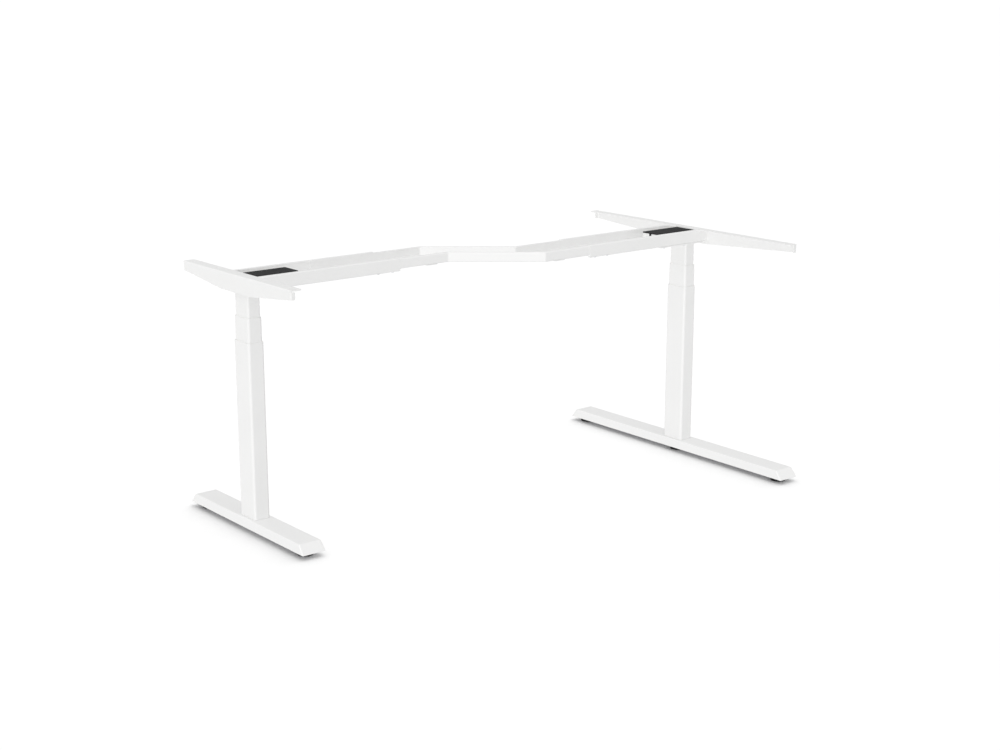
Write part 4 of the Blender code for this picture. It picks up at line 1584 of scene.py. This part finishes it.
@dataclass
class BentRails:
    """The two rails that bend forwards between the legs, and the plates across them."""

    maker: Maker
    wall: float = 0.002
    fold_radius: float = 0.0028
    lip: float = 0.012
    bend: float = 0.1125
    bend_length: float = 0.004
    bend_steps: int = 4
    slot_inset: float = 0.045
    slot: Flat = (0.0034, 0.030)
    plate_slot: Flat = (0.0045, 0.010)
    plate_slot_offset: float = 0.030

    def build(self) -> None:
        """Build the rails and the cross plates."""
        for word in ("front", "back"):
            self.rail(word)
        for side in Side:
            self.cross_plate(side)

    def shift(self, x: float, step: float) -> float:
        """How far back the rail stands at some place along it.

        Args:
            x: The place.
            step: How far apart in depth the two legs are.

        Returns:
            The shift, from step at the left leg to 0 at the right.
        """
        return step * min(max((self.bend - x) / (2 * self.bend), 0.0), 1.0)

    def rail(self, word: str) -> None:
        """One rail: a C section folded straight, then bent sideways at its two bends.

        Args:
            word: Front or back.
        """
        low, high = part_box(f"{word}_rail")
        step = Side.LEFT.centre.y - Side.RIGHT.centre.y
        half, reach, radius = (high.z - low.z) / 2, (high.x - low.x) / 2, self.fold_radius
        sheet = Sheet(self.wall, radius)
        edge = half - radius + sheet.arc + self.lip - radius
        radius_of_slot, stretch = self.slot
        slots = [round_outline(radius_of_slot, (sign * (reach - self.slot_inset), -edge + self.lip / 2),
                               20, stretch) for sign in (-1, 1)]
        corners = [(-reach, -edge), (reach, -edge), (reach, edge), (-reach, edge)]
        sheet.cut_out([traced_outline(corners), *slots])
        for sign in (-1, 1):
            for index in range(self.bend_steps + 1):
                sheet.score((1.0, 0.0), sign * self.bend + self.bend_length * (index / self.bend_steps - 0.5))
        sheet.fold((0.0, 1.0), half - radius)
        sheet.fold((0.0, -1.0), half - radius)
        face = low.y if word == "front" else step - high.y
        sheet.move(sheet_place((1, 0, 0), (0, 0, 1), (0.0, face, low.z + half)))
        if word == "back":
            sheet.move(Matrix.Scale(-1, 4, (0, 1, 0)))
        for vert in sheet.bm.verts:
            spread = [vert.co.x + self.bend_length * (index / 6 - 0.5) for index in range(7)]
            vert.co.y += sum(self.shift(x, step) for x in spread) / len(spread)
        sheet.give_wall()
        self.maker.finish(sheet, f"bent_{word}_rail", "rails", WHITE_COAT, [f"{word}_rail"], rim=0.0004)

    def cross_plate(self, side: Side) -> None:
        """A plate welded across under the rails, with two slots.

        Args:
            side: Which leg it is nearer to.
        """
        node = f"{side.value}_cross_plate"
        low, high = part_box(node)
        middle = (low + high) / 2
        radius, stretch = self.plate_slot
        holes = [round_outline(radius, (middle.x, middle.y + sign * self.plate_slot_offset), stretch=stretch)
                 for sign in (-1, 1)]
        work = plate([box_outline(low, high, radius=0.004), *holes], low.z, high.z)
        self.maker.finish(work, f"slotted_{node}", "rails", WHITE_COAT, [node])


# ---- studio ----------------------------------------------------------------------------------
@dataclass(frozen=True)
class Lamp:
    """A far, soft light: where it shines from, how strongly, and on what."""

    name: str
    way: Point
    power: float
    spread: float
    on_frame: bool = True
    on_floor: bool = True


@dataclass
class Studio:
    """A plain pale floor, soft light and the camera."""

    camera_spot: Point = (-3.0557, -3.7645, 1.5889)
    camera_turn: float = 39.029
    camera_dip: float = 14.094
    lens: float = 59.786
    sky: float = 0.626
    lamps: tuple[Lamp, ...] = (
        Lamp("key", (-1.128, -0.700, 0.60), 1.454, 40.0, on_floor=False),
        Lamp("front_light", (-0.30, -1.0, 0.55), 0.127, 60.0, on_floor=False),
        Lamp("top_light", (0.0, 0.0, 1.0), 0.633, 120.0, on_floor=False),
        Lamp("under_light", (0.0, 0.0, -1.0), 0.813, 120.0, on_floor=False),
        Lamp("floor_light", (0.62, 0.50, 0.60), 1.97, 110.0, on_frame=False),
    )
    floor_glow: float = 0.02
    floor_half: float = 160.0
    sight: float = 500.0

    def build(self, feet: Sequence[bpy.types.Object]) -> None:
        """Build the floor, the lights and the camera.

        Args:
            feet: The pieces near the floor, whose soft shadows it shows.
        """
        floor = self.floor()
        self.world()
        for lamp in self.lamps:
            light = self.sun(lamp)
            lit = [*(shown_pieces() if lamp.on_frame else []), *([floor] if lamp.on_floor else [])]
            self.link(light, "receiver_collection", lit, f"{lamp.name}_lights")
            self.link(light, "blocker_collection", feet, f"{lamp.name}_shaded_by")
        self.camera()

    def link(self, lamp: bpy.types.Object, kind: str, pieces: Sequence[bpy.types.Object], name: str) -> None:
        """Limit what a light falls on, or what shades it.

        Args:
            lamp: The light.
            kind: Which of its collections.
            pieces: What goes in the collection.
            name: The collection's name.
        """
        group = bpy.data.collections.new(name)
        for piece in pieces:
            group.objects.link(piece)
        setattr(lamp.light_linking, kind, group)

    def floor(self) -> bpy.types.Object:
        """A very large pale floor.

        Returns:
            The floor.
        """
        mesh = bpy.data.meshes.new("floor")
        bm = bmesh.new()
        bmesh.ops.create_grid(bm, x_segments=1, y_segments=1, size=self.floor_half)
        bm.to_mesh(mesh)
        bm.free()
        floor = bpy.data.objects.new("floor", mesh)
        bpy.context.scene.collection.objects.link(floor)
        bench = NodeBench("pale_floor")
        bench.mottle(bench.noise(3.0), (0.985, 0.985, 0.985), (1.0, 1.0, 1.0))
        bench.shader.inputs["Roughness"].default_value = 1.0
        bench.shader.inputs["Specular IOR Level"].default_value = 0.0
        bench.shader.inputs["Emission Color"].default_value = (1.0, 1.0, 1.0, 1.0)
        bench.shader.inputs["Emission Strength"].default_value = self.floor_glow
        mesh.materials.append(bench.material)
        floor.visible_diffuse = False
        floor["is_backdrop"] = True
        return floor

    def world(self) -> None:
        """An even, pale surround."""
        world = bpy.data.worlds.new("studio")
        bpy.context.scene.world = world
        world.use_nodes = True
        shade = world.node_tree.nodes["Background"]
        shade.inputs["Color"].default_value = (1.0, 1.0, 1.0, 1.0)
        shade.inputs["Strength"].default_value = self.sky

    def sun(self, lamp: Lamp) -> bpy.types.Object:
        """A far, soft light.

        Args:
            lamp: What it is like.

        Returns:
            The light.
        """
        light = bpy.data.lights.new(lamp.name, "SUN")
        light.energy = lamp.power
        light.angle = math.radians(lamp.spread)
        made = bpy.data.objects.new(lamp.name, light)
        made.rotation_euler = Vector(lamp.way).to_track_quat("Z", "Y").to_euler()
        bpy.context.scene.collection.objects.link(made)
        return made

    def camera(self) -> None:
        """The camera, in front of the left leg and a little above the frame."""
        view = bpy.data.cameras.new("camera")
        view.lens = self.lens
        view.clip_end = self.sight
        camera = bpy.data.objects.new("camera", view)
        camera.location = self.camera_spot
        camera.rotation_euler = (math.radians(90 - self.camera_dip), 0.0, math.radians(-self.camera_turn))
        bpy.context.scene.collection.objects.link(camera)
        bpy.context.scene.camera = camera


def legs() -> list[bpy.types.Object]:
    """Build both legs.

    Returns:
        Every piece made.
    """
    made = []
    for side, glides in ((Side.LEFT, ("front", "back")), (Side.RIGHT, ("front", "middle", "back"))):
        maker = Maker(side.place, side.value + "_")
        Foot(side, maker, glides).build()
        for part in (Column, SpindleDrive, Gearbox, MotorHousing, HeadPlate, SideBracket, BeamChannels):
            part(side, maker).build()
        made += maker.made
    return made


def main() -> None:
    """Build the whole scene and write how large it is."""
    logging.basicConfig(level=logging.INFO, format="%(name)s: %(message)s")
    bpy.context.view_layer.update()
    made = legs()
    rails = Maker(Matrix.Identity(4))
    BentRails(rails).build()
    LOG.info("%d pieces made", len(made) + len(rails.made))
    Studio().build([piece for piece in made if "foot" in piece.name or "glide" in piece.name])
    bpy.context.scene.view_settings.view_transform = "Standard"


if __name__ == "__main__":
    main()
